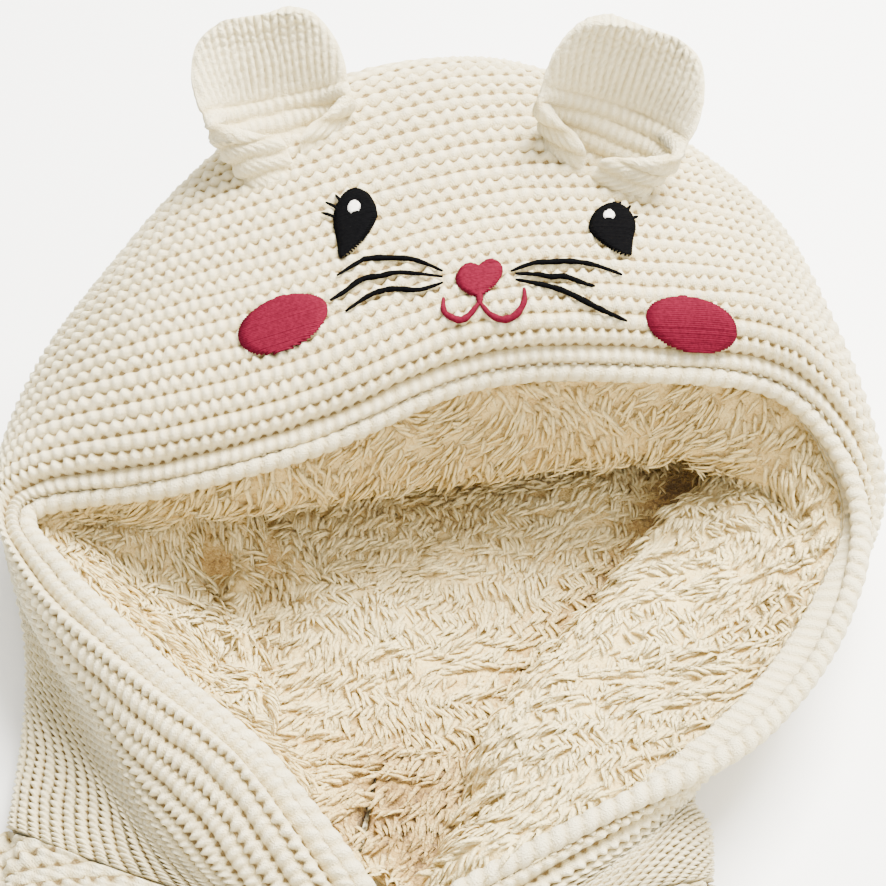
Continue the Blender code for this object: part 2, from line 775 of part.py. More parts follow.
def sheet(name, material, levels, half_width, low, high):
    """A flat layer of the body between two heights; half_width gives its width for each row."""
    share = np.linspace(-1, 1, BACK_COLUMNS + 1)[:, None]
    x, y = body_place(share * half_width[None, :], np.repeat(levels[None, :], BACK_COLUMNS + 1, axis=0))
    upper = np.stack([x, y, np.full_like(x, high)], axis=-1)
    return wall(name, upper, upper - (0, 0, high - low), material)


def settle_on_origin():
    """Move everything so that the vest's box stands on the middle of its underside."""
    bpy.context.view_layer.update()
    graph = bpy.context.evaluated_depsgraph_get()
    corners = []
    for thing in bpy.data.objects:
        if not thing.hide_render:
            mesh = thing.evaluated_get(graph).to_mesh()
            corners += [thing.matrix_world @ vert.co for vert in mesh.vertices]
            thing.evaluated_get(graph).to_mesh_clear()
    corners = np.array(corners)
    low, high = corners.min(axis=0), corners.max(axis=0)
    shift = Vector((-(low[0] + high[0]) / 2, -(low[1] + high[1]) / 2, -low[2]))
    for thing in bpy.data.objects:
        if thing.parent is None:
            thing.location += shift


def main():
    for thing in list(bpy.data.objects):
        bpy.data.objects.remove(thing)
    knit = cloth_material("cream_knit", (0.86, 0.81, 0.70), 0.9)
    fleece = cloth_material("cream_sherpa", (0.84, 0.74, 0.57), 0.95)
    black = cloth_material("black_embroidery", (0.012, 0.012, 0.016), 0.6)
    pink = cloth_material("pink_embroidery", (0.60, 0.07, 0.13), 0.7)
    button = cloth_material("cream_button", (0.80, 0.75, 0.64), 0.35)

    outside = Hull(knit_controls(), 0.0)
    columns = np.linspace(-HOOD_HALF_RIM, HOOD_HALF_RIM, HOOD_COLUMNS + 1)
    rows = np.linspace(0, HOOD_DEPTH, HOOD_ROWS + 1)
    hood = outside.grid(columns, rows)
    inside = outside.lifted(columns, rows, -KNIT)
    wall("hood_knit", hood, inside, knit, sewn_back=True)

    pile = Lining(lining_controls(outside), PILE_FLOOR)
    columns = np.linspace(-HOOD_HALF_RIM, HOOD_HALF_RIM, LINING_COLUMNS + 1)
    rows = np.linspace(0, HOOD_DEPTH, LINING_ROWS + 1)
    fuller = LIP_SHARE + (1 - LIP_SHARE) * smooth(rows / LIP_TAPER)
    plumper = END_SHARE + (1 - END_SHARE) * smooth((HOOD_HALF_RIM - np.abs(columns)) / END_TAPER)
    depth = FLEECE * (plumper[:, None] * fuller[None, :])[..., None]
    wall("hood_lining", pile.lifted(columns, rows, depth), pile.grid(columns, rows), fleece, sewn_back=True)

    middle = hood + (inside - hood) * EDGING_SHARE
    run = unit(np.gradient(middle[:, 0], axis=0))
    forward = middle[:, 0] - middle[:, 1]
    forward = unit(forward - run * np.sum(forward * run, axis=-1, keepdims=True))
    tube("hood_edging", middle[:, 0] + forward * (HOOD_EDGING + 3 * SEAM_GAP), HOOD_EDGING, knit)

    patch("eye_left", outside, (-22, 126), eye(6.2, 10.5, -1), black)
    patch("eye_right", outside, (43, 124), eye(6.2, 9, 1), black)
    patch("cheek_left", outside, (-39, 95), ellipse(11.5, 8), pink)
    patch("cheek_right", outside, (61.5, 98.5), ellipse(12.5, 6.5, -12), pink)
    patch("nose", outside, (9, 105), heart(5.6, 6.2), pink)

    for name, foot, up, turn in EARS:
        leaf = ear(name, knit, foot, up, turn)
        seat(leaf, outside, columns_near(outside.find(*foot[:2])[0]), rows_near())

    fronts = []
    for side, word in ((-1, "left"), (1, "right")):
        front = Front(hood[0 if side < 0 else -1], side)
        fronts.append(front)
        for piece, grid in (("front", front.panel()), ("band", front.band())):
            upper = front.placed(grid)
            wall(f"{piece}_{word}", upper, upper - (0, 0, KNIT), knit)
        tube("armhole_edging_" + word, armhole_path(side), EDGING, knit, closed=True)
    tube("hem_edging", hem_path(fronts), EDGING, knit)

    levels = np.concatenate([np.linspace(HEM, ARMHOLE[0][1], 6), armhole_levels()[1:], (-0.4,)])
    sheet("body_back", knit, levels, armhole_half(levels), 0, BACK_TOP)
    inset = EDGE_ROUND + 1
    levels = np.concatenate([np.linspace(HEM + inset, ARMHOLE[0][1], 5), armhole_levels()[1:-1]])
    narrow = np.minimum(armhole_half(levels), armhole_half(np.minimum(levels + inset, 0))) - inset
    sheet("lining_back", fleece, levels, narrow, BACK_TOP + SEAM_GAP, LINING_TOP)

    for number, y in enumerate(BUTTON_ROWS, start=1):
        x, place_y = body_place(0, y)
        button_piece(f"button_{number}", button, (x, place_y, FRONT_TOP + BAND_STEP + SEAM_GAP))
    settle_on_origin()


if __name__ == "__main__":
    main()
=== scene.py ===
"""A hooded baby vest of chunky cream knit, laid on its back with the hood puffed open.

The hood is drawn as in the frame, from the same table of stations: each station is one column of knitting
that starts at the hood's front edge, runs back over the hood and ends at the seam down the middle of the
back. A place on the hood has two numbers in millimetres: across, along the front edge, and back from it.
Sizes are millimetres in the frame's axes until a mesh is made; moved() adds the frame's own offset.
"""

import math

import bmesh
import bpy
import numpy as np
from bpy.props import FloatProperty, FloatVectorProperty, PointerProperty
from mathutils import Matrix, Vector
from mathutils.bvhtree import BVHTree
from mathutils.kdtree import KDTree


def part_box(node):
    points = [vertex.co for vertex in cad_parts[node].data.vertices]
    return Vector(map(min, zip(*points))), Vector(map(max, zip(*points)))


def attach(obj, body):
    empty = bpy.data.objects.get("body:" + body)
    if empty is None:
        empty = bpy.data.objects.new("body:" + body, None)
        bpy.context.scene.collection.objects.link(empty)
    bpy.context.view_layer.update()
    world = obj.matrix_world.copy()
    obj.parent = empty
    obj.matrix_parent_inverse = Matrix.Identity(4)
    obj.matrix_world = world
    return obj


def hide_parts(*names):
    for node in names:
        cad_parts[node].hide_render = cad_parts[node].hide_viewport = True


bl_info = {
    "name": "Hooded knit vest",
    "version": (1, 0, 0),
    "blender": (4, 5, 0),
    "location": "3D View > Sidebar > Vest",
    "description": "Builds a sherpa-lined hooded knit vest around its packed frame",
    "category": "Add Mesh",
}

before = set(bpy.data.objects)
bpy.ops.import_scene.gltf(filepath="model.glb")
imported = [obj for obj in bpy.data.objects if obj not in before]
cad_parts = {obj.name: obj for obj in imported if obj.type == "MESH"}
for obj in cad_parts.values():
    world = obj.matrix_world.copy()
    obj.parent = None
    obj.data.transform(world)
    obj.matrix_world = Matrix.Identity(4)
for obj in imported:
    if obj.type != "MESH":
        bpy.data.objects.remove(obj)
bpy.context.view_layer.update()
MM = 0.001
BODY = "root"

# ---------------------------------------------------------------- the frame's own measures, in millimetres

KNIT = 3.5  # thickness of a layer of knit
FLEECE = 2.5  # thickness of the fleece's ground
SEAM_GAP = 0.3  # between layers that are sewn together
PILE_FLOOR = KNIT + SEAM_GAP + FLEECE
LEAST_HOLLOW = 0.8  # the least height of the lining's hollow over its floor
CLEAR = 11.0  # from the knit to the lining where it stands away from it
HOOD_HALF_RIM = 265.0  # half the front edge: across runs from minus this to this
HOOD_DEPTH = 200.0  # from the front edge to the seam: back runs from 0 to this
EVEN_ROWS = 110.0  # back to here the rows are evenly spaced over the form
EVEN_MOST = 0.6  # and take at most this share of a column's curve
FLOOR_INSET = 12.0  # how far in from its side the hood meets the surface

# The hood's long lines, from the left neck over the top to the right neck: columns x, y, z
RIM_LINE = (
    (-15, -37, 28), (-38, -9, 42), (-65, 15, 45), (-92, 43, 44), (-103, 66, 42), (-68, 65, 51),
    (-31, 71, 59), (9, 87, 66), (48, 90, 66), (87, 92, 57), (106, 68, 41), (93, 31, 32), (67, 0, 30),
    (33, -19, 28), (-2, -36, 24),
)
BROW_LINE = (
    (-24, -38, 29), (-43, -14, 44), (-70, 11, 46), (-98, 41, 43), (-109, 72, 44), (-70, 76, 62),
    (-32, 83, 71), (9, 98, 79), (50, 101, 77), (90, 102, 67), (110, 73, 39), (90, 33, 25), (64, 2, 24),
    (36, -21, 23), (4, -39, 23),
)
FACE_LINE = (
    (-38, -37, 26), (-57, -22, 31), (-76, 5, 34), (-102, 45, 33), (-112, 88, 42), (-77, 105, 69),
    (-37, 116, 80), (9, 131, 84), (54, 129, 81), (94, 118, 65), (113, 83, 34), (87, 35, 19),
    (62, 3, 19.5), (42, -18, 21), (16, -38, 21),
)
CROWN_LINE = (
    (-78, -20, 20.6), (-80, 0, 20.8), (-90, 26, 21), (-109, 62, 25), (-114, 104, 37), (-88, 137, 63),
    (-47, 174, 86), (9, 190, 93), (62, 174, 80), (98, 146, 58), (113, 97, 27), (84.5, 37, 13),
    (60, 4.5, 14), (53, -10, 20.6), (44, -28, 20.6),
)
SIDE_LINE = (
    (-99.2, -5.8, 10), (-101, 20, 10), (-105, 48, 12), (-115, 84, 20), (-111, 118, 28), (-93, 154, 36),
    (-50, 198, 48), (9, 220, 50), (63, 197, 45), (99, 157, 33), (108, 104, 17), (82, 40, 8),
    (58, 6.5, 8), (61, -7, 10), (60.2, -19.1, 10),
)
NAPE = (-19.5, -12.5)
CROWN_END = (9.0, 180.0)
STATIONS = len(RIM_LINE)

# The lining's lines: the front of the roll under the brim, its keel, and the crease or cavity behind it
ROLL_LINE = (
    (-19, -31, 20), (-34, -4, 30), (-60, 22, 32), (-84, 50, 33), (-93, 70, 32), (-64, 71, 34),
    (-31, 76, 35), (9, 88, 34), (47, 91, 35), (80, 89, 34), (95, 68, 31), (78, 36, 26), (54, 8, 25),
    (24, -13, 22), (-3, -33, 19),
)
KEEL_LINE = (
    (-22, -26, 15), (-32, 0, 20), (-57, 27, 20), (-75, 54, 22), (-88, 80, 25), (-60, 81, 26),
    (-30, 86, 26), (9, 98, 25), (47, 101, 26), (76, 98, 26), (90, 78, 24), (60, 42, 17), (36, 16, 15),
    (13, -4, 14), (-5, -28, 15),
)
TUCK_LINE = (
    (-24, -21, 10.5), (-30, 8, 7), (-50, 38, 7), (-62, 62, 8), (-84, 91, 22), (-64, 101, 31),
    (-30, 106, 33), (9, 120, 33), (48, 121, 33), (77, 114, 30), (86, 89, 19), (44, 54, 7), (22, 26, 7),
    (4, 3, 7), (-9, -24, 10.5),
)
# For each station, 1 where the lining turns in behind its roll as a crease and 0 where a hollow lies there
CREASE = (1, 1, 1, 1, 0.5, 0, 0, 0, 0, 0, 0.5, 1, 1, 1, 1)
CREASE_SHARES = (0.25, 0.5, 0.75)  # of the way from the crease to the seam, for the three lines behind it
LIP_BACK = 2.0  # the lining starts this far behind the front edge
LIP_GAP = 1.5  # and this far inside the knit
LIP_SHARE = 0.7  # with this much of the fleece's thickness
LIP_DOWN = 0.2  # and is drawn this much of the way to the roll
HAUNCH_HIGH = 0.5  # the lining's haunch, in heights of the knit's side
HAUNCH_CLEAR = 0.8  # how far in it lies, in CLEAR
FOOT_CLEAR = 2.3  # and its foot

# The body, in its own plan from the nape
BODY_TURN = math.radians(-4.75)  # the body lies a little turned from the picture's axes
NECK_HALF = 80.0
SHOULDER_TIP = (134.0, -14.0)
HEM = -345.0
HEM_HALF = 158.0
# Half widths and heights from the underarm to the tip of the shoulder
ARMHOLE = ((155, -140), (140, -121), (128, -95), (124, -65), (127, -38), SHOULDER_TIP)
BAND_HALF = 12.0
LEFT_BAND_TOP = (-6.7, -25.0)
RIGHT_BAND_TOP = (30.5, -23.0)
BAND_STRAIGHT = -75.0  # below this a band runs straight down the middle
EDGE_ROUND = 18.0  # how far in the fronts sink to meet the back at their edges
NECK_RISE = 75.0  # how far down the fronts rise to meet the hood's neck
BACK_TOP = KNIT
LINING_TOP = BACK_TOP + SEAM_GAP + FLEECE
EDGE_TOP = BACK_TOP + SEAM_GAP + KNIT
FRONT_TOP = LINING_TOP + SEAM_GAP + KNIT
BAND_STEP = KNIT + SEAM_GAP
BUTTON_ROWS = (-105, -170, -235, -300)

SEAM_BACK = 4.3  # where the linking of the front edge draws the knit in

# The photograph's view: a camera 440 mm from the middle of the hood's opening, 44 degrees above the surface
VIEW_TARGET = (0.0, 100.0, 30.0)
VIEW_AWAY = 440.0
VIEW_UP = math.radians(44.0)
VIEW_LENS = 67.04


def body_place(x, y):
    """Plan of the body to plan of the whole vest."""
    c, s = math.cos(BODY_TURN), math.sin(BODY_TURN)
    return NAPE[0] + x * c - y * s, NAPE[1] + x * s + y * c


def frame_offset():
    """From these millimetres to the frame's own, read from where the top button lies."""
    low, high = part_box("button_1")
    x, y = body_place(0, BUTTON_ROWS[0])
    return np.array([(low[0] + high[0]) / 2 / MM - x, (low[1] + high[1]) / 2 / MM - y, 0.0])


OFFSET = frame_offset()


def moved(points):
    """Millimetres here to metres in the frame."""
    return (np.asarray(points, float) + OFFSET) * MM


# ---------------------------------------------------------------- curves and surfaces


def unit(vectors):
    """Each vector at length 1."""
    return vectors / np.maximum(np.linalg.norm(vectors, axis=-1, keepdims=True), 1e-9)


def smooth(share):
    """0 to 1 with level ends."""
    share = np.clip(share, 0, 1)
    return share * share * (3 - 2 * share)


def along(rows, at):
    """A smooth curve through evenly spaced rows, read at fractional row numbers."""
    rows = np.asarray(rows, float)
    at = np.clip(np.asarray(at, float), 0, len(rows) - 1)
    low = np.minimum(at.astype(int), len(rows) - 2)
    share = (at - low).reshape(at.shape + (1,) * (rows.ndim - 1))
    before, after = np.maximum(low - 1, 0), np.minimum(low + 2, len(rows) - 1)
    start, end = rows[low], rows[low + 1]
    leave, arrive = (end - rows[before]) / 2, (rows[after] - start) / 2
    square, cube = share**2, share**3
    return (
        (2 * cube - 3 * square + 1) * start
        + (cube - 2 * square + share) * leave
        + (3 * square - 2 * cube) * end
        + (cube - square) * arrive
    )


def kept_above(points, level):
    """Brings points that lie below a level up to it."""
    points[..., 2] = np.maximum(points[..., 2], level)


def rim_columns(count):
    """Numbers across, evenly spaced along the whole front edge."""
    return np.linspace(-HOOD_HALF_RIM, HOOD_HALF_RIM, count)


def outward_of(points):
    """The direction square to a grid of points: columns run along the rim, rows run back."""
    return unit(np.cross(np.gradient(points, axis=0), np.gradient(points, axis=1)))


def station_seam():
    """Where each station ends: down the seam from the crown to the nape and up again."""
    share = 1 - np.abs(np.linspace(-1, 1, STATIONS))
    flat = np.array(NAPE) + share[:, None] * (np.array(CROWN_END) - np.array(NAPE))
    return np.column_stack([flat, np.zeros(STATIONS)])


def station_foot(side, seam, inset):
    """Points at the seam's height, set in from the side towards the seam."""
    foot = side + inset * unit((seam - side) * (1, 1, 0))
    foot[:, 2] = seam[:, 2]
    return foot


def knit_controls():
    """The hood's control points: stations by lines by x, y, z."""
    lines = [np.array(line, float) for line in (RIM_LINE, BROW_LINE, FACE_LINE, CROWN_LINE, SIDE_LINE)]
    seam = station_seam()
    lines += [station_foot(lines[-1], seam, FLOOR_INSET), seam]
    return np.stack(lines, axis=1)


def lining_controls(outside):
    """The lining's control points: stations by lines by x, y, z of the pile's ground."""
    knit = outside.controls
    crown, side, seam = knit[:, 3], knit[:, 4], knit[:, 6] + (0, 0, PILE_FLOOR)
    roll, keel, tuck = (np.array(line, float) for line in (ROLL_LINE, KEEL_LINE, TUCK_LINE))
    lip = outside.lifted_at(rim_columns(STATIONS), LIP_BACK, -(KNIT + LIP_GAP + LIP_SHARE * FLEECE))
    lip = lip + LIP_DOWN * (roll - lip)
    inward = unit((seam - side) * (1, 1, 0))
    vault = crown + inward * CLEAR - (0, 0, CLEAR)
    haunch = side * (1, 1, HAUNCH_HIGH) + inward * (FLOOR_INSET + HAUNCH_CLEAR * CLEAR)
    foot = station_foot(side, seam, FLOOR_INSET + FOOT_CLEAR * CLEAR)
    for points in (vault, haunch):
        kept_above(points, PILE_FLOOR + LEAST_HOLLOW)
    crease = np.array(CREASE)[:, None]
    behind = []
    for part, points in zip(CREASE_SHARES, (vault, haunch, foot)):
        behind.append(points + crease * (tuck + part * (seam - tuck) - points))
    return np.stack([lip, roll, keel, tuck, *behind, seam], axis=1)


class Hull:
    """A smooth sheet through control points: across is mm along the rim, back is mm from the rim."""

    FINE = 97  # points along a column's curve

    def __init__(self, controls, lowest):
        self.controls = controls
        self.lowest = lowest

    def reach(self, back, walked):
        """How far along a column's curve each row lies."""
        whole = walked[-1]
        even = min(EVEN_ROWS, EVEN_MOST * whole)
        rest = (whole - even) / (HOOD_DEPTH - EVEN_ROWS)
        return np.where(back < EVEN_ROWS, back * even / EVEN_ROWS, even + (back - EVEN_ROWS) * rest)

    def grid(self, across, back):
        """Points for every pair of the two lists: len(across) by len(back) by 3."""
        at = (np.asarray(across, float) / HOOD_HALF_RIM + 1) / 2 * (STATIONS - 1)
        rows = np.moveaxis(along(self.controls, at), 1, 0)
        curve = along(rows, np.linspace(0, len(rows) - 1, self.FINE))
        kept_above(curve, self.lowest)
        steps = np.linalg.norm(np.diff(curve, axis=0), axis=-1)
        walked = np.concatenate([np.zeros((1, steps.shape[1])), np.cumsum(steps, axis=0)])
        back = np.asarray(back, float)
        points = np.empty((len(at), len(back), 3))
        for column in range(len(at)):
            reach = self.reach(back, walked[:, column])
            for axis in range(3):
                points[column, :, axis] = np.interp(reach, walked[:, column], curve[:, column, axis])
        return points

    def at(self, across, back):
        """Points for paired numbers: across and back are arrays of one shape."""
        across, back = np.broadcast_arrays(np.asarray(across, float), np.asarray(back, float))
        points = [self.grid([column], [row])[0, 0] for column, row in zip(across.ravel(), back.ravel())]
        return np.array(points).reshape(across.shape + (3,))

    def out_at(self, across, back):
        """The outward direction at paired numbers."""
        along_rim = self.at(np.add(across, 1.0), back) - self.at(np.subtract(across, 1.0), back)
        along_back = self.at(across, np.add(back, 1.0)) - self.at(across, np.subtract(back, 1.0))
        return unit(np.cross(along_rim, along_back))

    def lifted_at(self, across, back, lift):
        """Paired points moved out by lift."""
        return self.at(across, back) + self.out_at(across, back) * lift


class Lining(Hull):
    """The lining's sheet: its rows keep to its long lines."""

    def reach(self, back, walked):
        """How far along a column's curve each row lies."""
        return np.interp(back / HOOD_DEPTH * (self.FINE - 1), np.arange(self.FINE), walked)


HOOD = Hull(knit_controls(), 0.0)
PILE = Lining(lining_controls(HOOD), PILE_FLOOR)


class Chart:
    INSIDE = 1.001  # keeps a place just inside the last cell
    UPPER_ROWS = 101  # these rows face up

    def __init__(self, hull):
        self.columns = np.arange(-HOOD_HALF_RIM, HOOD_HALF_RIM + 1)
        self.rows = np.arange(0, HOOD_DEPTH + 1)
        self.points = hull.grid(self.columns, self.rows)
        self.out = outward_of(self.points)
        self.lumps = lumps_of(self.points)

    def read(self, layer, across, back):
        """A layer's value between the four grid points round each place."""
        u = np.clip(across + HOOD_HALF_RIM, 0, len(self.columns) - self.INSIDE)
        v = np.clip(back, 0, len(self.rows) - self.INSIDE)
        i, j = u.astype(int), v.astype(int)
        f, g = u - i, v - j
        if layer.ndim == 3:
            f, g = f[..., None], g[..., None]
        near = layer[i, j] * (1 - f) + layer[i + 1, j] * f
        far = layer[i, j + 1] * (1 - f) + layer[i + 1, j + 1] * f
        return near * (1 - g) + far * g

    def place(self, across, back, lift):
        """Points above the knit's lumpy face, and the way out there."""
        across, back, lift = np.broadcast_arrays(*(np.asarray(x, float) for x in (across, back, lift)))
        out = unit(self.read(self.out, across, back))
        rise = lift + self.read(self.lumps, across, back)
        return self.read(self.points, across, back) + out * rise[..., None], out

    def nearest(self, x, y):
        """The numbers across and back of the upper face above x, y."""
        upper = self.points[:, : self.UPPER_ROWS]
        off = np.hypot(upper[..., 0] - x, upper[..., 1] - y)
        column, row = np.unravel_index(np.argmin(off), off.shape)
        return self.columns[column], self.rows[row]


FULL_TURN = 6.28  # radians, for a random start of a wave
WAVE_PITCHES = (1.4, 3.0)  # the shortest and longest wave, in sizes of a feature
WAVE_GAIN = 1.6  # brings a mean of several waves back to about -1 to 1


def waves(points, size, seed, count=5):
    """Slow soft noise from about -1 to 1 over points, with features about size across."""
    random = np.random.default_rng(seed)
    total = np.zeros(points.shape[:-1])
    for _ in range(count):
        heading = unit(random.normal(size=points.shape[-1]))
        pitch = size * random.uniform(*WAVE_PITCHES)
        total += np.sin(points @ heading * (2 * math.pi / pitch) + random.uniform(0, FULL_TURN))
    return total / count * WAVE_GAIN


LUMP = 0.5  # height of the hood's soft unevenness
LUMP_SIZE = 26.0
LUMP_FADE = 12.0  # it fades out below this height


def lumps_of(surface):
    """The soft unevenness of the hood's knit, none where it lies on the floor."""
    return LUMP * waves(surface, LUMP_SIZE, 11) * smooth(surface[..., 2] / LUMP_FADE)


CHART = Chart(HOOD)


# ---------------------------------------------------------------- knitting


SCALLOP = 0.07  # of a row's height: how far the grooves swing up and down
WAVE = 0.07  # and how far the caps swing out of the middle of their row
YARN = 0.485  # of a row's height: half the yarn's thickness
DIP = 0.42  # how much lower the yarn lies between a cap and the next
CAP_SHARE = 0.7  # of the relief lies under the surface that the knit is laid on, and the rest over it


def stitch_numbers(a, b, seed):
    """Stitch and row numbers over a grid, with the small unevenness of real knitting."""
    a, b = np.broadcast_arrays(a, b)
    place = np.stack([a, b], axis=-1)
    slow = place / (1.0, 0.7)
    # A slow wander of up to half a stitch, and a small jitter from stitch to stitch
    a = a + 0.45 * waves(slow, 14.0, seed) + 0.10 * waves(place, 1.3, seed + 1, 7)
    b = b + 0.10 * waves(slow, 17.0, seed + 2) + 0.07 * waves(place, 1.5, seed + 3, 7)
    return a, b


def purl(a, b):
    """Height of the knit's purl side, 0 in the grooves to 1 on the caps.

    Each row is a ridge of caps, half a stitch on from those of the row before."""
    b = b + SCALLOP * np.cos(2 * math.pi * a)
    row = np.floor(b)
    swing = np.cos(2 * math.pi * a + math.pi * row)
    side = (b - row - 0.5 - WAVE * swing) / YARN
    return np.sqrt(np.clip(1 - side * side, 0, 1)) * (1 - DIP / 2 + DIP / 2 * swing)


def linked_mesh(name, outer, inner, marks, coarse):
    """A closed shell between two grids that share their columns.

    The inner grid has only the outer one's rows named in coarse. marks holds a vector for each outer point,
    and the inner ones take theirs."""
    points = np.concatenate([outer, inner[:, ::-1]], axis=1)
    columns, rows = points.shape[0] - 1, points.shape[1] - 1
    mesh = bmesh.new()
    bmesh.ops.create_grid(mesh, x_segments=columns, y_segments=rows + 1, size=1)
    verts = mesh.verts[:]
    row = columns + 1
    bmesh.ops.weld_verts(mesh, targetmap=dict(zip(verts[-row:], verts[:row])))
    bmesh.ops.holes_fill(mesh, edges=[edge for edge in mesh.edges if edge.is_boundary], sides=0)
    for end in (0, columns):
        for number, outer_row in enumerate(coarse[1:-1], start=1):
            pair = verts[outer_row * row + end], verts[(rows - number) * row + end]
            for face in set(pair[0].link_faces) & set(pair[1].link_faces):
                bmesh.utils.face_split(face, *pair)
    data = bpy.data.meshes.new(name)
    mesh.to_mesh(data)
    mesh.free()
    data.vertices.foreach_set("co", moved(points).transpose(1, 0, 2).astype(np.float32).ravel())
    stitch = np.concatenate([marks, marks[:, coarse][:, ::-1]], axis=1).transpose(1, 0, 2)
    return marked(data, stitch)


def marked(data, stitch):
    """The mesh with its stitch attribute: stitch number, row number and height or level."""
    layer = data.attributes.new("stitch", "FLOAT_VECTOR", "POINT")
    layer.data.foreach_set("vector", np.ascontiguousarray(stitch, np.float32).ravel())
    data.shade_smooth()
    data.update()
    return data


def piece(name, data, material, slot, *nodes):
    """The mesh as a named piece that rides on the vest and stands for CAD nodes."""
    data.materials.clear()
    data.materials.append(material)
    thing = bpy.data.objects.new(name, data)
    bpy.context.scene.collection.objects.link(thing)
    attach(thing, BODY)
    if nodes:
        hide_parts(*nodes)
    return thing


def every(count, step):
    """Every step-th row of count rows, with the first and the last."""
    return np.unique(np.append(np.arange(0, count, step), count - 1))


def knit_shell(name, surface, a, b, seed, relief, lift, step):
    """A shell of purl knitting on a surface grid: a and b are stitch and row numbers.

    Its inner face keeps every step-th row of the grid."""
    out = outward_of(surface)
    a, b = stitch_numbers(a, b, seed)
    height = purl(a, b)
    outer = surface + out * ((height - CAP_SHARE) * relief + lift)[..., None]
    kept_above(outer, 0.0)
    coarse = every(surface.shape[1], step)
    inner = surface[:, coarse] - out[:, coarse] * KNIT
    kept_above(inner, 0.0)
    return linked_mesh(name, outer, inner, np.stack([a, b, height], axis=-1), coarse)


def tube_faces(sides, rings, closed):
    """The faces of a plain tube whose points go round ring by ring."""
    mesh = bmesh.new()
    bmesh.ops.create_grid(mesh, x_segments=sides, y_segments=rings - 1, size=1)
    verts = mesh.verts[:]
    row = sides + 1
    target = {verts[n * row + sides]: verts[n * row] for n in range(rings)}
    if closed:
        target = {verts[n * row + sides]: verts[n * row] for n in range(rings - 1)}
        target.update({verts[(rings - 1) * row + n]: verts[n % sides] for n in range(row)})
    bmesh.ops.weld_verts(mesh, targetmap=target)
    bmesh.ops.holes_fill(mesh, edges=[edge for edge in mesh.edges if edge.is_boundary], sides=0)
    data = bpy.data.meshes.new("tube")
    mesh.to_mesh(data)
    mesh.free()
    faces = [list(polygon.vertices) for polygon in data.polygons]
    bpy.data.meshes.remove(data)
    return faces


def tubes(name, paths, out, wide, high, level, sides=6, closed=False, swell=1.0):
    """One mesh of many tubes: paths is tubes by rings by x, y, z, and out the side of them that shows.

    wide and high are the half sizes at each ring, level the height mark that the yarn's and the fleece's
    colour ramps turn into painted shade, swell a factor at each point. A closed path ends on its first
    point."""
    rings = paths.shape[1] - (1 if closed else 0)
    run = unit(np.gradient(paths, axis=1))
    if closed:
        run[:, 0] = unit(paths[:, 1] - paths[:, -2])
    side = unit(np.cross(out, run))
    up = np.cross(run, side)
    angle = 2 * math.pi * np.arange(sides) / sides
    wide, high = (np.broadcast_to(x, paths.shape[:2])[..., None] * swell for x in (wide, high))
    points = (
        paths[:, :, None]
        + side[:, :, None] * (wide * np.cos(angle))[..., None]
        + up[:, :, None] * (high * np.sin(angle))[..., None]
    )
    points = points[:, :rings].reshape(len(paths), -1, 3)
    marks = np.zeros((len(paths), rings, sides, 3))
    marks[..., 2] = np.broadcast_to(level, (len(paths), paths.shape[1], sides))[:, :rings]
    faces = tube_faces(sides, paths.shape[1], closed)
    return repeated(name, points, faces, marks.reshape(len(paths), -1, 3))


# ---------------------------------------------------------------- materials


# Scales of the shaders' noise, in features a metre
FIBRE = 2400.0  # loose fibre 0.4 mm apart: coarser than the real one, so that it shows
PATCHY = 45.0  # slow changes of the yarn's tone, 22 mm
CURL = 1100.0  # curls of the fleece, 0.9 mm
THREAD_GRAIN = 1300.0  # unevenness of the embroidery thread, 0.8 mm
CLOUD = 180.0  # clouds in the plastic, 6 mm
PLY_RIDGES = 6  # fine slanting ridges of twisted yarn to a stitch
PLY_SLANT = 0.8  # how far they lean, in stitches a row
PLY_HEIGHT = 0.035  # in heights of a cap


def linear(hex_colour):
    """An sRGB hex colour as the linear numbers that the shader takes."""
    values = [int(hex_colour[i : i + 2], 16) / 255 for i in (1, 3, 5)]
    return tuple(v / 12.92 if v <= 0.04045 else ((v + 0.055) / 1.055) ** 2.4 for v in values)


def add_node(tree, kind, links=(), **settings):
    """One node with its settings; links are (input name, output socket or value)."""
    made = tree.nodes.new(kind)
    for key, value in settings.items():
        setattr(made, key, value)
    for socket, value in links:
        if isinstance(value, bpy.types.NodeSocket):
            tree.links.new(value, made.inputs[socket])
        else:
            made.inputs[socket].default_value = value
    return made


def figure(tree, operation, *values):
    """The result of one sum of sockets and numbers."""
    return add_node(tree, "ShaderNodeMath", enumerate(values), operation=operation).outputs[0]


def new_material(name, roughness, sheen, sheen_roughness=0.5):
    """A material with its Principled shader's plain values set."""
    material = bpy.data.materials.new(name)
    material.use_nodes = True
    shader = material.node_tree.nodes["Principled BSDF"]
    shader.inputs["Roughness"].default_value = roughness
    shader.inputs["Metallic"].default_value = 0
    shader.inputs["IOR"].default_value = 1.5
    shader.inputs["Sheen Weight"].default_value = sheen
    shader.inputs["Sheen Roughness"].default_value = sheen_roughness
    return material, material.node_tree, shader


def ramp(tree, factor, stops):
    """A colour ramp from stops: each a position with a hex colour, or with one of the settings' colours."""
    made = add_node(tree, "ShaderNodeValToRGB", [("Fac", factor)])
    elements = made.color_ramp.elements
    while len(elements) < len(stops):
        elements.new(0.5)
    for element, (place, colour) in zip(elements, stops):
        element.position = place
        element.color = (*(linear(colour) if isinstance(colour, str) else colour), 1)
    return made.outputs["Color"]


def noise(tree, scale, detail, distortion=0.0):
    """Noise on the piece's own coordinates; scale is in features a metre."""
    place = add_node(tree, "ShaderNodeTexCoord").outputs["Object"]
    links = [("Vector", place), ("Scale", scale), ("Detail", detail), ("Distortion", distortion)]
    return add_node(tree, "ShaderNodeTexNoise", links).outputs["Fac"]


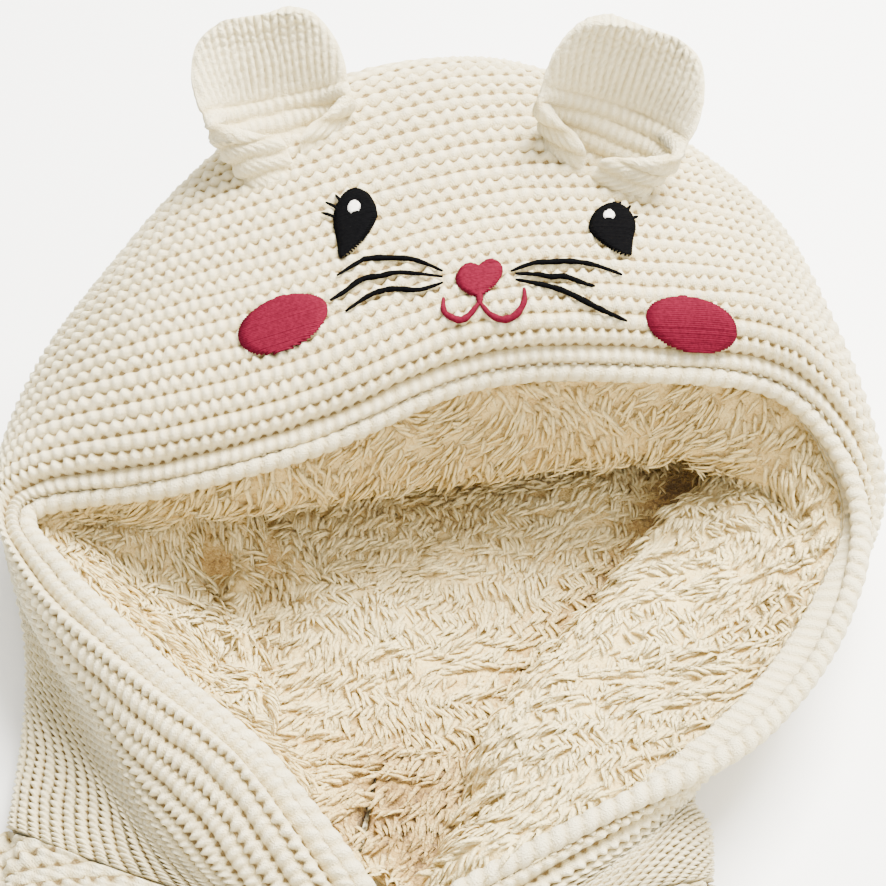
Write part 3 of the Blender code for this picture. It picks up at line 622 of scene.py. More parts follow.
def coat(tree, shader, colour, height=None, strength=0.0, distance=0.0):
    """The shader's colour and, where a height is given, its bump: distance is in metres."""
    tree.links.new(colour, shader.inputs["Base Color"])
    if height is not None:
        links = [("Strength", strength), ("Distance", distance), ("Height", height)]
        bump = add_node(tree, "ShaderNodeBump", links)
        tree.links.new(bump.outputs["Normal"], shader.inputs["Normal"])


def stitch_sockets(tree):
    """The stitch attribute's stitch number, row number and height."""
    stitch = add_node(tree, "ShaderNodeAttribute", attribute_name="stitch")
    parts = add_node(tree, "ShaderNodeSeparateXYZ", [("Vector", stitch.outputs["Vector"])])
    return parts.outputs["X"], parts.outputs["Y"], parts.outputs["Z"]


def purl_figures(tree, a, b):
    """The same height as purl(), worked out by the shader at each point."""
    turn = figure(tree, "MULTIPLY", a, 2 * math.pi)
    b = figure(tree, "MULTIPLY_ADD", figure(tree, "COSINE", turn), SCALLOP, b)
    row = figure(tree, "FLOOR", b)
    turn = figure(tree, "MULTIPLY_ADD", row, math.pi, turn)
    swing = figure(tree, "COSINE", turn)
    middle = figure(tree, "MULTIPLY_ADD", swing, WAVE, 0.5)
    off = figure(tree, "SUBTRACT", figure(tree, "SUBTRACT", b, row), middle)
    side = figure(tree, "DIVIDE", off, YARN)
    inside = figure(tree, "MULTIPLY_ADD", figure(tree, "MULTIPLY", side, side), -1.0, 1.0)
    yarn = figure(tree, "SQRT", figure(tree, "MAXIMUM", inside, 0.0))
    return figure(tree, "MULTIPLY", yarn, figure(tree, "MULTIPLY_ADD", swing, DIP / 2, 1 - DIP / 2))


def yarn_material(name, knitted):
    """Brushed acrylic yarn: matt, with a soft halo of fibre, and dark, warm painted shade in the grooves
    between the loops.

    knitted draws the purl pattern finer than the mesh; otherwise the mesh's own height is used."""
    material, tree, shader = new_material(name, roughness=0.95, sheen=0.1, sheen_roughness=0.6)
    a, b, height = stitch_sockets(tree)
    if knitted:
        height = purl_figures(tree, a, b)
    fibre = noise(tree, FIBRE, 3.0)
    shade = figure(tree, "MULTIPLY_ADD", figure(tree, "SUBTRACT", fibre, 0.5), 0.45, height)
    # Painted shade: the ramp darkens the yarn from the caps down into the grooves between the loops, where
    # shade falls
    stops = [(0.0, "#7E6636"), (0.30, "#BBA670"), (0.62, "#DDCEA0"), (0.95, setting("yarn"))]
    colour = ramp(tree, shade, stops)
    limits = [("From Min", 0.3), ("From Max", 0.7), ("To Min", 0.93), ("To Max", 1.03)]
    tone = add_node(tree, "ShaderNodeMapRange", [("Value", noise(tree, PATCHY, 2.0)), *limits])
    tinted = add_node(
        tree, "ShaderNodeVectorMath", [(0, colour), ("Scale", tone.outputs["Result"])], operation="SCALE"
    )
    slant = figure(tree, "MULTIPLY_ADD", b, PLY_SLANT, a)
    twist = figure(tree, "MULTIPLY", slant, 2 * math.pi * PLY_RIDGES)
    ply = figure(tree, "MULTIPLY_ADD", figure(tree, "SINE", twist), PLY_HEIGHT, height)
    fuzzy = figure(tree, "MULTIPLY_ADD", fibre, 0.75, ply if knitted else height)
    coat(tree, shader, tinted.outputs["Vector"], fuzzy, 0.9, 0.0009)
    return material


def fleece_material(name):
    """Polyester sherpa: curly fibre, pale at the tips, with warm, dark painted shade down at the backing.
    """
    material, tree, shader = new_material(name, roughness=1.0, sheen=0.06, sheen_roughness=0.7)
    level = stitch_sockets(tree)[2]
    curl = noise(tree, CURL, 4.0, 1.0)
    shade = figure(tree, "MULTIPLY_ADD", figure(tree, "SUBTRACT", curl, 0.5), 0.9, level)
    # Painted shade: the ramp runs from dark at the backing, deep in the pile where shade falls, to pale at
    # the tips
    stops = [(0.0, "#6A4E22"), (0.25, "#B39150"), (0.52, "#E2C884"), (0.95, setting("fleece"))]
    coat(tree, shader, ramp(tree, shade, stops), curl, 0.8, 0.0011)
    return material


def thread_material(name, dark, light, roughness):
    """Rayon embroidery thread, twisted and laid in satin stitch: even colour with a low gloss."""
    material, tree, shader = new_material(name, roughness=roughness, sheen=0.0)
    shader.inputs["Specular IOR Level"].default_value = 0.03
    uneven = noise(tree, THREAD_GRAIN, 2.0)
    coat(tree, shader, ramp(tree, uneven, [(0.3, dark), (0.7, light)]), uneven, 0.4, 0.0001)
    return material


def button_material(name):
    """Moulded urea plastic with a satin tumbled face: cream, faintly cloudy, with a soft highlight."""
    material, tree, shader = new_material(name, roughness=0.35, sheen=0.0)
    cloud = noise(tree, CLOUD, 3.0, 0.6)
    coat(tree, shader, ramp(tree, cloud, [(0.3, "#E2D3AE"), (0.7, "#F2E8CC")]))
    return material


MATERIALS = {
    "brushed_cream_yarn": lambda name: yarn_material(name, True),
    "linked_cream_yarn": lambda name: yarn_material(name, False),
    "sherpa_fleece": fleece_material,
    "black_rayon_thread": lambda name: thread_material(name, "#010102", setting("black"), 0.85),
    "rose_rayon_thread": lambda name: thread_material(name, "#4A0A1A", setting("rose"), 0.75),
    "white_rayon_thread": lambda name: thread_material(name, "#D8D4CC", "#F4F0E8", 0.5),
    "cream_urea_plastic": button_material,
}


def material_named(name):
    """The vest's own materials, each made once."""
    return bpy.data.materials.get(name) or MATERIALS[name](name)


# ---------------------------------------------------------------- settings that a user would change


def length(name, description, default):
    """A size in metres that a user may set."""
    return FloatProperty(name=name, description=description, default=default, unit="LENGTH")


def colour(name, description, default):
    """A colour that a user may set."""
    return FloatVectorProperty(name=name, description=description, default=linear(default), subtype="COLOR")


class VestSettings(bpy.types.PropertyGroup):
    """The sizes and colours of the vest's knit, fleece and thread"""

    stitch_width: length("Stitch width", "Across one stitch, along the front edge", 0.0028)
    row_height: length("Row height", "From one row of knitting to the next", 0.00435)
    relief: length("Relief", "From the grooves to the caps of the knit", 0.0021)
    lobe: length("Lobe", "Length of one lobe of the linked edges", 0.004)
    lock_length: length("Lock length", "Length of a lock of the fleece", 0.0066)
    strand: length("Strand", "From one strand of the embroidery to the next", 0.00048)
    yarn: colour("Yarn", "The yarn on the caps of the knit", "#EAE0BA")
    fleece: colour("Fleece", "The fleece at the tips of its locks", "#F2DFA4")
    black: colour("Dark thread", "The eyes, whiskers and lashes", "#040405")
    rose: colour("Rose thread", "The cheeks, nose and mouth", "#5C1024")


def setting(name):
    """One of the settings as it is."""
    return getattr(bpy.context.scene.vest, name)


def size(name):
    """One of the settings in millimetres."""
    return setting(name) / MM


# ---------------------------------------------------------------- hood

HOOD_PARTS = (("hood_knit_front", 4, 5), ("hood_knit_back", 2, 3))  # name, points to a stitch and to a row
HOOD_INNER_STEP = 32  # rows of points from one to the next on the hidden face
FLAT_RELIEF = 0.25  # of the knit's relief is left where the hood lies on the surface
FLAT_FADE = 3.0  # and all of it from this height up
SEAM_DEEP = 1.8  # how deep the linking draws the knit in
SEAM_WIDE = 1.6  # and over what width


class VEST_OT_hood(bpy.types.Operator):
    """Knit the hood's outside, in a close front piece and a plainer back piece"""

    bl_idname = "vest.hood"
    bl_label = "Hood knit"

    def execute(self, context):
        row = size("row_height")
        stitches = round(2 * HOOD_HALF_RIM / size("stitch_width"))
        ends = (0, round(EVEN_ROWS / row), round(HOOD_DEPTH / row))
        for (name, stitch_points, row_points), first, last in zip(HOOD_PARTS, ends, ends[1:]):
            columns = rim_columns(stitches * stitch_points + 1)
            rows = np.linspace(first, last, (last - first) * row_points + 1)
            back = np.minimum(rows * row, HOOD_DEPTH)
            surface = HOOD.grid(columns, back)
            a = ((columns / HOOD_HALF_RIM + 1) / 2 * stitches)[:, None]
            relief = FLAT_RELIEF + (1 - FLAT_RELIEF) * smooth(surface[..., 2] / FLAT_FADE)
            relief = size("relief") * relief
            seam = SEAM_DEEP * np.exp(-(((back - SEAM_BACK) / SEAM_WIDE) ** 2))[None, :]
            lift = lumps_of(surface) - seam
            data = knit_shell(name, surface, a, rows[None, :], 3, relief, lift, HOOD_INNER_STEP)
            made = piece(name, data, material_named("brushed_cream_yarn"), "cream_knit", "hood_knit")
        return {"FINISHED"}


LOBE_RINGS = 6  # rings of points to a lobe
LOBE_SIDES = 10
LOBE_LOW = 0.78  # thickness in the creases, in thicknesses of a lobe
LOBE_ROUND = 0.6  # under 1 the lobes are full and the creases narrow


def rope(name, path, out, wide, high, node, closed=False):
    """A linked edge of slanted lobes with creases between them; wide and high are its half sizes."""
    steps = np.linalg.norm(np.diff(path, axis=0), axis=-1)
    walked = np.concatenate([[0], np.cumsum(steps)])
    lobes = round(walked[-1] / size("lobe"))
    even = np.linspace(0, walked[-1], lobes * LOBE_RINGS + 1)
    path, out = (
        np.column_stack([np.interp(even, walked, line[:, axis]) for axis in range(3)])
        for line in (path, out)
    )
    slant = np.arange(LOBE_SIDES) / LOBE_SIDES
    lobe = np.abs(np.sin(math.pi * (even[:, None] / walked[-1] * lobes + slant[None, :]))) ** LOBE_ROUND
    uneven = 1 + 0.05 * waves(path, 9.0, 41)[:, None]
    swell = (LOBE_LOW + (1 - LOBE_LOW) * lobe) * uneven
    # Painted shade: darker in the creases between the lobes
    level = 0.30 + 0.62 * lobe
    path, out, level, swell = path[None], unit(out)[None], level[None], swell[None]
    data = tubes(name, path, out, wide, high, level, LOBE_SIDES, closed, swell)
    return piece(name, data, material_named("linked_cream_yarn"), "cream_knit", node)


FACING_NARROW = 3.0  # width of the facing down the left side and over the top
FACING_MORE = 6.5  # and how much wider it is down the right
FACING_ROWS = 7
FACING_SEAM = 4.6  # row where it is sewn down
FACING_RIBS = 3.0  # from one of its ribs to the next
FACING_WALL = 0.8
EDGE_IN = 0.62  # how deep in the knit's thickness its linked edge is centred
EDGE_OUT = 2.0  # and how far in front of the knit
EDGE_HALF = (2.4, 2.6)  # half its thickness, along and square to the knit


def facing_width(columns):
    """Width of the strip behind the front edge, in the lining's numbers: wider down the right side."""
    return FACING_NARROW + FACING_MORE * smooth((columns - 80) / 60)


class VEST_OT_edging(bpy.types.Operator):
    """Link the thick edge along the hood's front, and sew the facing behind it"""

    bl_idname = "vest.edging"
    bl_label = "Hood edge"

    def execute(self, context):
        columns = rim_columns(round(2 * HOOD_HALF_RIM) + 1)
        surface = HOOD.grid(columns, (0.0, 2.0))
        out = outward_of(HOOD.grid(columns, (0.0, 1.0, 2.0)))[:, 0]
        run = unit(np.gradient(surface[:, 0], axis=0))
        forward = surface[:, 0] - surface[:, 1]
        forward = unit(forward - run * np.sum(forward * run, axis=-1, keepdims=True))
        middle = surface[:, 0] - out * KNIT * EDGE_IN
        rope("hood_edge", middle + forward * EDGE_OUT, out, *EDGE_HALF, "hood_edging")
        self.facing(columns, middle + forward * 1.2 - out * 1.4)
        return {"FINISHED"}

    @staticmethod
    def facing(columns, start):
        """The narrow strip that covers the lining's cut edge, wider down the right side."""
        wide = facing_width(columns)
        rows = np.linspace(0, 1, FACING_ROWS - 1)
        strip = np.stack([PILE.grid([c], rows * w)[0] for c, w in zip(columns, wide)])
        pile_out = -outward_of(strip)
        strip = strip + pile_out * (1.0 - 0.5 * rows[None, :, None] ** 4)
        surface = np.concatenate([start[:, None], strip], axis=1)[::-1]
        out = outward_of(surface)
        stitched = np.exp(-(((np.arange(FACING_ROWS) - FACING_SEAM) / 0.7) ** 2))
        surface = surface - out * 0.5 * stitched[None, :, None]
        rib = 0.5 + 0.5 * np.sin(columns[::-1] * 2 * math.pi / FACING_RIBS)
        surface = surface + out * (0.45 * rib + 0.25 * waves(surface[:, 3], 3.0, 45))[:, None, None]
        # Painted shade: darker between the ribs and along the sunk line where the facing is sewn down
        level = (0.55 + 0.35 * rib[:, None]) * (1 - 0.85 * stitched[None, :])
        marks = np.stack([np.zeros(level.shape), np.zeros(level.shape), level], axis=-1)
        behind = surface - out * FACING_WALL
        data = linked_mesh("hood_facing", surface, behind, marks, np.arange(FACING_ROWS))
        made = piece("hood_facing", data, material_named("linked_cream_yarn"), "cream_knit")


# ---------------------------------------------------------------- lining

# Folds of the lining in plan, x at y: the edges of the right and left panels, and the valley on the left
PANEL_EDGE = ((-4, -21), (0, -9), (7, 7), (16, 26), (28, 46), (52, 78), (71, 103))
LEFT_EDGE = ((-50, 46), (-55, 56), (-61, 67), (-66, 78), (-69, 90))
LEFT_VALLEY = ((-40, 10), (-41, 29), (-43, 48), (-45, 65), (-46, 77), (-48, 94), (-49, 110))
# Hollows of the lining in plan, sunk and darkened further with painted shade: x, y, reach and depth
POCKETS = ((-59, 77, 8, 9.0), (-8, -8, 22, 13.0), (66, 104, 13, 9.0))
FOLD_TOP = 22.0  # height where the folds start to fade
FOLD_FADE = 10.0  # and over what height they are gone
FOLD_ENDS = 12.0  # how far past its ends a fold runs out
PANEL_STEP = 2.5  # half the width of a panel's step
GROUND_POINTS = (241, 111)  # columns and rows of the lining's ground
GROUND_INNER_STEP = 6
LOCK_POINTS = (161, 181)  # columns and rows of places for locks, over one part
PILE_PARTS = (  # name, ends across in half rims, number of locks
    ("hood_pile_left", -0.99, -0.33, 6300),
    ("hood_pile_top", -0.34, 0.34, 6300),
    ("hood_pile_right", 0.33, 0.99, 6300),
)
LOCK_RINGS = (0.9, 1.05, 0.85, 0.14)  # thickness at each ring of a lock, from its root to its tip
LOCK_FLAT = 0.5  # its height, in widths
LOCK_LAY = np.array((-0.35, -0.75, -0.5))  # the way that the locks lie down
SPARSE = 0.10  # how thickly the locks grow where the opening doesn't show them, against 1 where it does
TUFT = 4.2  # from one tuft of the pile to the next
GATHER = 0.35  # share of the way that the tips are drawn to the middle of their tuft
# Large odd numbers that scatter the middles of the tufts
SCATTER = np.array(((12.9898, 39.346, 73.156), (78.233, 11.135, 52.235), (37.719, 83.155, 19.134)))
# Ways out of the hood through its opening
OPENING_VIEWS = ((0, -0.72, 0.69), (0.5, -0.6, 0.6), (-0.5, -0.6, 0.6), (0, -0.2, 1), (0, -1, 0.3))


def beside(points, line):
    """How far right of a line in plan the points lie, and how much they lie between its ends."""
    line = np.array(line, float)
    x = np.interp(points[..., 1], line[:, 1], line[:, 0])
    lean = np.interp(points[..., 1], line[:, 1], np.gradient(line[:, 0], line[:, 1]))
    past_low, past_high = points[..., 1] - line[0, 1], line[-1, 1] - points[..., 1]
    within = smooth(past_low / FOLD_ENDS + 1) * smooth(past_high / FOLD_ENDS + 1)
    return (points[..., 0] - x) / np.sqrt(1 + lean * lean), within


def folds(ground):
    """How far the lining stands in from its plain form."""
    low = 1 - smooth((ground[..., 2] - FOLD_TOP) / FOLD_FADE)
    # The right panel stands up along its edge and sinks away behind it, with a sunk fold in front that the
    # painted shade darkens
    right, within = beside(ground, PANEL_EDGE)
    step = smooth((right + PANEL_STEP) / (2 * PANEL_STEP))
    panel = 10.0 * step * (1 - smooth((right - 5) / 38)) * within * low
    shade = -7.0 * np.exp(-(((right + 5) / 4) ** 2)) * within * low
    # The left valley has a ridge beside it
    left, within = beside(ground, LEFT_VALLEY)
    ridge = 6.0 * np.exp(-(((left + 8) / 4.5) ** 2))
    valley = (ridge - 5.0 * np.exp(-((left / 3) ** 2))) * within * low
    # The left panel is the right one's mirror image, and lower
    right, within = beside(ground, LEFT_EDGE)
    step = 1 - smooth((right + PANEL_STEP) / (2 * PANEL_STEP))
    panel = panel + 7.0 * step * (1 - smooth((-right - 5) / 22)) * within * low
    pockets = 0
    for x, y, reach, deep in POCKETS:
        off = (ground[..., 0] - x) ** 2 + (ground[..., 1] - y) ** 2
        pockets = pockets - deep * np.exp(-off / reach**2)
    rolling = 2.2 * waves(ground, 24.0, 51) * low
    return panel + shade + valley + pockets * low + rolling + 0.7 * waves(ground, 9.0, 52)


def pile_ground(columns, rows):
    """The lining's face with its folds, the way the pile stands, and its painted shade: paler where the
    folds stand up, darker where they sink.
    """
    plain = PILE.grid(columns, rows)
    from_ends = smooth((HOOD_HALF_RIM - np.abs(columns)) / 25)[:, None]
    lift = folds(plain) * smooth(rows / 14)[None, :] * from_ends
    folded = plain - outward_of(plain) * lift[..., None]
    kept_above(folded, PILE_FLOOR)
    # Painted shade for the fleece's colour: paler on raised folds, darker in sunk folds and hollows
    return folded, -outward_of(folded), np.clip(0.035 * lift, -0.42, 0.16)


def seen(points, views):
    """Which points the hood's knit leaves open to at least one of the views."""
    columns, rows = 80, 40
    shell = HOOD.grid(rim_columns(columns + 1), np.linspace(0, HOOD_DEPTH, rows + 1))
    mesh = bmesh.new()
    bmesh.ops.create_grid(mesh, x_segments=columns, y_segments=rows, size=1)
    for vert, place in zip(mesh.verts, shell.transpose(1, 0, 2).reshape(-1, 3)):
        vert.co = place
    tree = BVHTree.FromBMesh(mesh)
    mesh.free()
    found = np.zeros(len(points), bool)
    for view in views:
        ray = Vector(view).normalized()
        for number in np.flatnonzero(~found):
            found[number] = tree.ray_cast(Vector(points[number]), ray)[0] is None
    return found


class VEST_OT_lining(bpy.types.Operator):
    """Lay the sherpa lining in the hood: its ground, its folds and its locks"""

    bl_idname = "vest.lining"
    bl_label = "Hood lining"

    def execute(self, context):
        columns = rim_columns(GROUND_POINTS[0])
        rows = np.linspace(0, HOOD_DEPTH, GROUND_POINTS[1])
        ground, way, tone = pile_ground(columns, rows)
        clumps = 0.5 * waves(ground, 3.2, 21, 9) + 0.35 * waves(ground, 1.6, 22, 9)
        face = ground + way * clumps[..., None]
        coarse = every(len(rows), GROUND_INNER_STEP)
        behind = PILE.grid(columns, rows[coarse])
        behind = behind + outward_of(behind) * FLEECE * 0.8
        level = np.zeros(ground.shape)
        # Painted shade: the ground is darker between the clumps and in the sunk folds, paler on the raised
        # ones
        level[..., 2] = 0.46 + 0.2 * clumps + tone
        data = linked_mesh("hood_lining_ground", face[::-1], behind[::-1], level[::-1], coarse)
        fleece = material_named("sherpa_fleece")
        base = piece("hood_lining_ground", data, fleece, "cream_sherpa", "hood_lining")
        for number, (name, first, last, count) in enumerate(PILE_PARTS):
            made = self.locks(name, first, last, count, 31 + number)
            piece(name, made, fleece, "cream_sherpa", "hood_lining")
        return {"FINISHED"}

    @staticmethod
    def locks(name, first, last, count, seed):
        """The locks on a part of the lining's width, thick where the opening shows them."""
        random = np.random.default_rng(seed)
        columns = np.linspace(first * HOOD_HALF_RIM, last * HOOD_HALF_RIM, LOCK_POINTS[0])
        rows = np.linspace(1.5, HOOD_DEPTH - 1, LOCK_POINTS[1])
        ground, way, tone = pile_ground(columns, rows)
        down_rim, down_back = np.gradient(ground, axis=0), np.gradient(ground, axis=1)
        area = np.linalg.norm(np.cross(down_rim, down_back), axis=-1).ravel()
        place, normal = ground.reshape(-1, 3), way.reshape(-1, 3)
        open_to = seen(place + normal * 3, OPENING_VIEWS)
        faces = np.max([normal @ unit(np.array(view, float)) for view in OPENING_VIEWS], axis=0) > -0.2
        bare = (rows[None, :] < facing_width(columns)[:, None]).ravel()
        chance = area * np.where(open_to & faces, 1.0, SPARSE) * ~bare
        chosen = random.choice(len(chance), count, p=chance / chance.sum())
        root = place[chosen] + random.normal(0, 0.8, (count, 3)) * (1, 1, 0.3)
        normal = normal[chosen]
        lay = unit(LOCK_LAY - normal * (normal @ LOCK_LAY)[:, None])
        return lock_mesh(name, root, normal, lay, tone.ravel()[chosen], random)


def lock_mesh(name, root, normal, lay, tone, random):
    """Tapered three-sided locks that lie over one another, their tips drawn together in tufts."""
    count, rings = len(root), len(LOCK_RINGS)
    tuft = np.floor(root / TUFT)
    stray = np.sin(tuft @ SCATTER)
    gather = (tuft + 0.5 + 0.3 * stray) * TUFT - root
    gather = gather - normal * np.sum(gather * normal, axis=-1, keepdims=True)
    turn = 0.9 * waves(root, 15.0, 57) + 0.5 * stray[:, 0] + random.normal(0, 0.15, count)
    side = np.cross(normal, lay)
    flow = lay * np.cos(turn)[:, None] + side * np.sin(turn)[:, None]
    beyond = np.cross(normal, flow)
    long = size("lock_length") * random.uniform(0.6, 1.15, count)
    stand = random.uniform(0.22, 0.42, count)
    rise = np.linspace(0, 1, rings)
    phase = random.uniform(0, FULL_TURN, count)[:, None]
    curl = random.uniform(0.05, 0.3, count)[:, None]
    swing = (np.sin(rise[None, :] * 6.0 + phase) - np.sin(phase)) * curl
    up = (long * stand)[:, None] * (1.5 * rise - 0.9 * rise**2)[None, :] - 0.3
    ahead = long[:, None] * (0.35 * rise + 0.55 * rise**2)[None, :]
    path = (
        root[:, None, :]
        + normal[:, None, :] * up[..., None]
        + flow[:, None, :] * ahead[..., None]
        + beyond[:, None, :] * swing[..., None]
        + gather[:, None, :] * GATHER * rise[None, :, None] ** 1.5
    )
    kept_above(path, PILE_FLOOR)
    thick = random.uniform(0.6, 0.95, count)[:, None] * np.array(LOCK_RINGS)[None, :]
    way = np.repeat(normal[:, None, :], rings, axis=1)
    # Painted shade: each lock darker at its root and paler to its tip, and darker in the lining's sunk
    # folds; the waves and the random part are the fleece's own uneven tone
    shade = tone + 0.10 * waves(root, 12.0, 58) + random.normal(0, 0.05, count)
    level = 0.48 + 0.40 * rise[None, :, None] + shade[:, None, None]
    return tubes(name, path, way, thick, thick * LOCK_FLAT, level, 3)


def repeated(name, points, faces, marks):
    """One mesh from many copies of the same small one: points is copies by vertices by x, y, z."""
    count, each = points.shape[:2]
    sizes = np.array([len(face) for face in faces], np.int32)
    loop = np.concatenate([np.array(face, np.int32) for face in faces])
    loops = (np.arange(count, dtype=np.int32)[:, None] * each + loop[None, :]).ravel()
    totals = np.tile(sizes, count)
    starts = np.concatenate([[0], np.cumsum(totals)[:-1]]).astype(np.int32)
    data = bpy.data.meshes.new(name)
    data.vertices.add(count * each)
    data.vertices.foreach_set("co", moved(points).astype(np.float32).ravel())
    data.loops.add(len(loops))
    data.loops.foreach_set("vertex_index", loops)
    data.polygons.add(len(totals))
    data.polygons.foreach_set("loop_start", starts)
    data.update(calc_edges=True)
    return marked(data, marks)


# ---------------------------------------------------------------- ears

# Rows from the foot up: height, half width, roll in degrees, and how far the middle lies behind the axis
EAR = (
    (-13, 10.5, 358, 11), (1, 13.5, 356, 11.5), (7, 16, 346, 12), (12, 18.5, 334, 12),
    (16.5, 20.5, 250, 11), (22, 22, 120, 9), (31, 21.5, 62, 6), (38.5, 18.5, 38, 5),
    (42.5, 14.5, 28, 4), (44.5, 9, 24, 4),
)
EARS = (  # name, middle of the foot, axis, the side the roll opens to
    ("ear_left", (-40, 150, 79), (-0.22, 0.55, 0.80), 1),
    ("ear_right", (39, 147, 79), (0.28, 0.25, 0.93), -1),
)
EAR_POINTS = (97, 81)  # columns and rows
EAR_WALL = 4.5
EAR_TWIST = 38.0  # degrees that the foot is turned against the tip
EAR_PRESSED = 0.28  # depth of the roll at the foot, where it is sewn flat
EAR_STITCH = 4.3
EAR_ROW = 4.6
EAR_RELIEF = 1.7
GARTER_TOP = 25.0  # height where the ridges end and the smooth columns begin


def stocking(a, b):
    """Height of the knit's right side: columns of slanting legs that meet in a V."""
    x = np.abs(2 * (a - np.floor(a)) - 1)
    leg = np.sqrt(np.clip(1 - 0.92 * (2 * x - 1) ** 2, 0, 1))
    step = np.abs(np.sin(2 * math.pi * (b + 0.3 * x))) ** 0.5
    return leg * (0.45 + 0.55 * step)


def garter(a, b):
    """Height of ridges of purl bumps with a furrow between one and the next."""
    ridge = np.abs(np.sin(math.pi * b)) ** 0.7
    return ridge * (0.72 + 0.28 * np.cos(3 * math.pi * a + math.pi * np.floor(b)))


class Seat:
    """The hood's knit round the ears, for setting their feet on it."""

    DEEP = 2.0  # how far a foot sinks into the knit

    def __init__(self):
        across, back = np.meshgrid(np.linspace(-90, 90, 121), np.linspace(20, 120, 101))
        points, out = CHART.place(across.ravel(), back.ravel(), 0.0)
        self.points, self.out = points, out
        self.tree = KDTree(len(points))
        for number, point in enumerate(points):
            self.tree.insert(point, number)
        self.tree.balance()

    def brought_up(self, points):
        """The points, with those under the hood's knit brought up into it."""
        flat = points.reshape(-1, 3).copy()
        for number, point in enumerate(flat):
            index = self.tree.find(point)[1]
            off = np.dot(point - self.points[index], self.out[index])
            if off < -self.DEEP:
                flat[number] = point - self.out[index] * (self.DEEP + off)
        return flat.reshape(points.shape)


class VEST_OT_ears(bpy.types.Operator):
    """Knit the two ears, rolled at the foot and sewn down on the hood"""

    bl_idname = "vest.ears"
    bl_label = "Ears"

    def execute(self, context):
        seat = Seat()
        for name, foot, up, turn in EARS:
            data = self.leaf(name, seat, foot, up, turn)
            made = piece(name + "_knit", data, material_named("linked_cream_yarn"), "cream_knit", name)
        return {"FINISHED"}

    @staticmethod
    def leaf(name, seat, foot, up, turn):
        """A thick leaf: flat at its tip, rolled round at its foot. turn is the side the roll opens to."""
        up = unit(np.array(up, float))
        across = unit(np.array((1.0, 0.0, 0.0)) - up * up[0])
        forward = np.cross(across, up)
        line = np.linspace(-1, 1, EAR_POINTS[0])
        share = np.linspace(0, 1, EAR_POINTS[1])
        height, half_width, roll, behind = along(np.array(EAR, float), share * (len(EAR) - 1)).T
        half_roll = np.radians(roll) / 2
        radius = half_width / np.sin(np.minimum(half_roll, math.pi / 2)) - EAR_WALL / 2
        angle = line[:, None] * half_roll[None, :]
        x = radius * np.sin(angle)
        pressed = EAR_PRESSED + (1 - EAR_PRESSED) * smooth((height - 12) / 16)
        y = (radius + EAR_WALL / 2 - behind - radius * np.cos(angle)) * pressed
        twist = math.radians(EAR_TWIST) * turn * (1 - share)
        turned_x = x * np.cos(twist) + y * np.sin(twist)
        turned_y = y * np.cos(twist) - x * np.sin(twist)
        middle = np.array(foot, float) + up * height[None, :, None]
        middle = middle + across * turned_x[..., None] + forward * turned_y[..., None]
        middle = middle + 0.6 * unit(outward_of(middle)) * waves(middle, 14.0, 61)[..., None]
        way = outward_of(middle)
        arc = (angle * radius) / EAR_STITCH
        b = np.broadcast_to((height / EAR_ROW)[None, :], arc.shape)
        seed = 71 if turn > 0 else 75
        a, b = stitch_numbers(arc, b, seed)
        ridges = smooth((GARTER_TOP - height) / 3)[None, :]
        level = garter(a, b) * ridges + stocking(a, b) * (1 - ridges)
        edge = np.maximum(np.abs(line)[:, None] ** 5, share[None, :] ** 14)
        plump = np.sqrt(np.clip(1 - edge**2, 0, 1))
        half = EAR_WALL / 2 * plump + (level - 0.6) * EAR_RELIEF * plump
        faces = [seat.brought_up(middle + way * side * half[..., None]) for side in (1, -1)]
        # Painted shade: the mark darkens the ear's yarn in the grooves between its ridges and legs
        marks = np.stack([a, b, 0.38 + 0.60 * level], axis=-1)
        return linked_mesh(name, faces[0], faces[1], marks, np.arange(len(share)))


# ---------------------------------------------------------------- embroidery


def inside_eye(x, y, half_width, half_height, outer_side):
    """An eye: round above, drawn to a point below on its outer side."""
    v = y / half_height
    low = np.clip(-v, 0, 1)
    narrow = np.sqrt(np.clip(1 - v * v, 0, 1)) * (1 - 0.35 * low)
    middle = outer_side * 0.75 * low**1.8
    return np.abs(x / half_width - middle) < narrow


def inside_ellipse(x, y, half_width, half_height, turn):
    """An ellipse turned by an angle."""
    c, s = math.cos(turn), math.sin(turn)
    return ((x * c + y * s) / half_width) ** 2 + ((y * c - x * s) / half_height) ** 2 < 1


def inside_heart(x, y, half_width, half_height):
    """A heart of two lobes over a point."""
    x, y = x / half_width * 1.14, y / half_height * 1.05 + 0.12
    return (x * x + y * y - 1) ** 3 - x * x * y**3 < 0


# Node, thread, place in plan, shape, its half sizes with its outer side or turn, height over the knit
PATCHES = (
    ("eye_left", "black", (-22, 126), inside_eye, (5.9, 10.6, -1), 1.15),
    ("eye_right", "black", (43, 124), inside_eye, (6.0, 9.4, 1), 1.15),
    ("cheek_left", "rose", (-39, 95), inside_ellipse, (11.4, 7.8, 0.06), 1.1),
    ("cheek_right", "rose", (61.5, 98.5), inside_ellipse, (12.4, 6.6, -0.21), 1.1),
    ("nose", "rose", (9, 105), inside_heart, (5.9, 5.6), 1.15),
)
# Name, across, back and half size
GLINTS = (("glint_left", -25, 61, 1.75), ("glint_right", 28, 44, 1.5))
GLINT_LIFT = 1.7
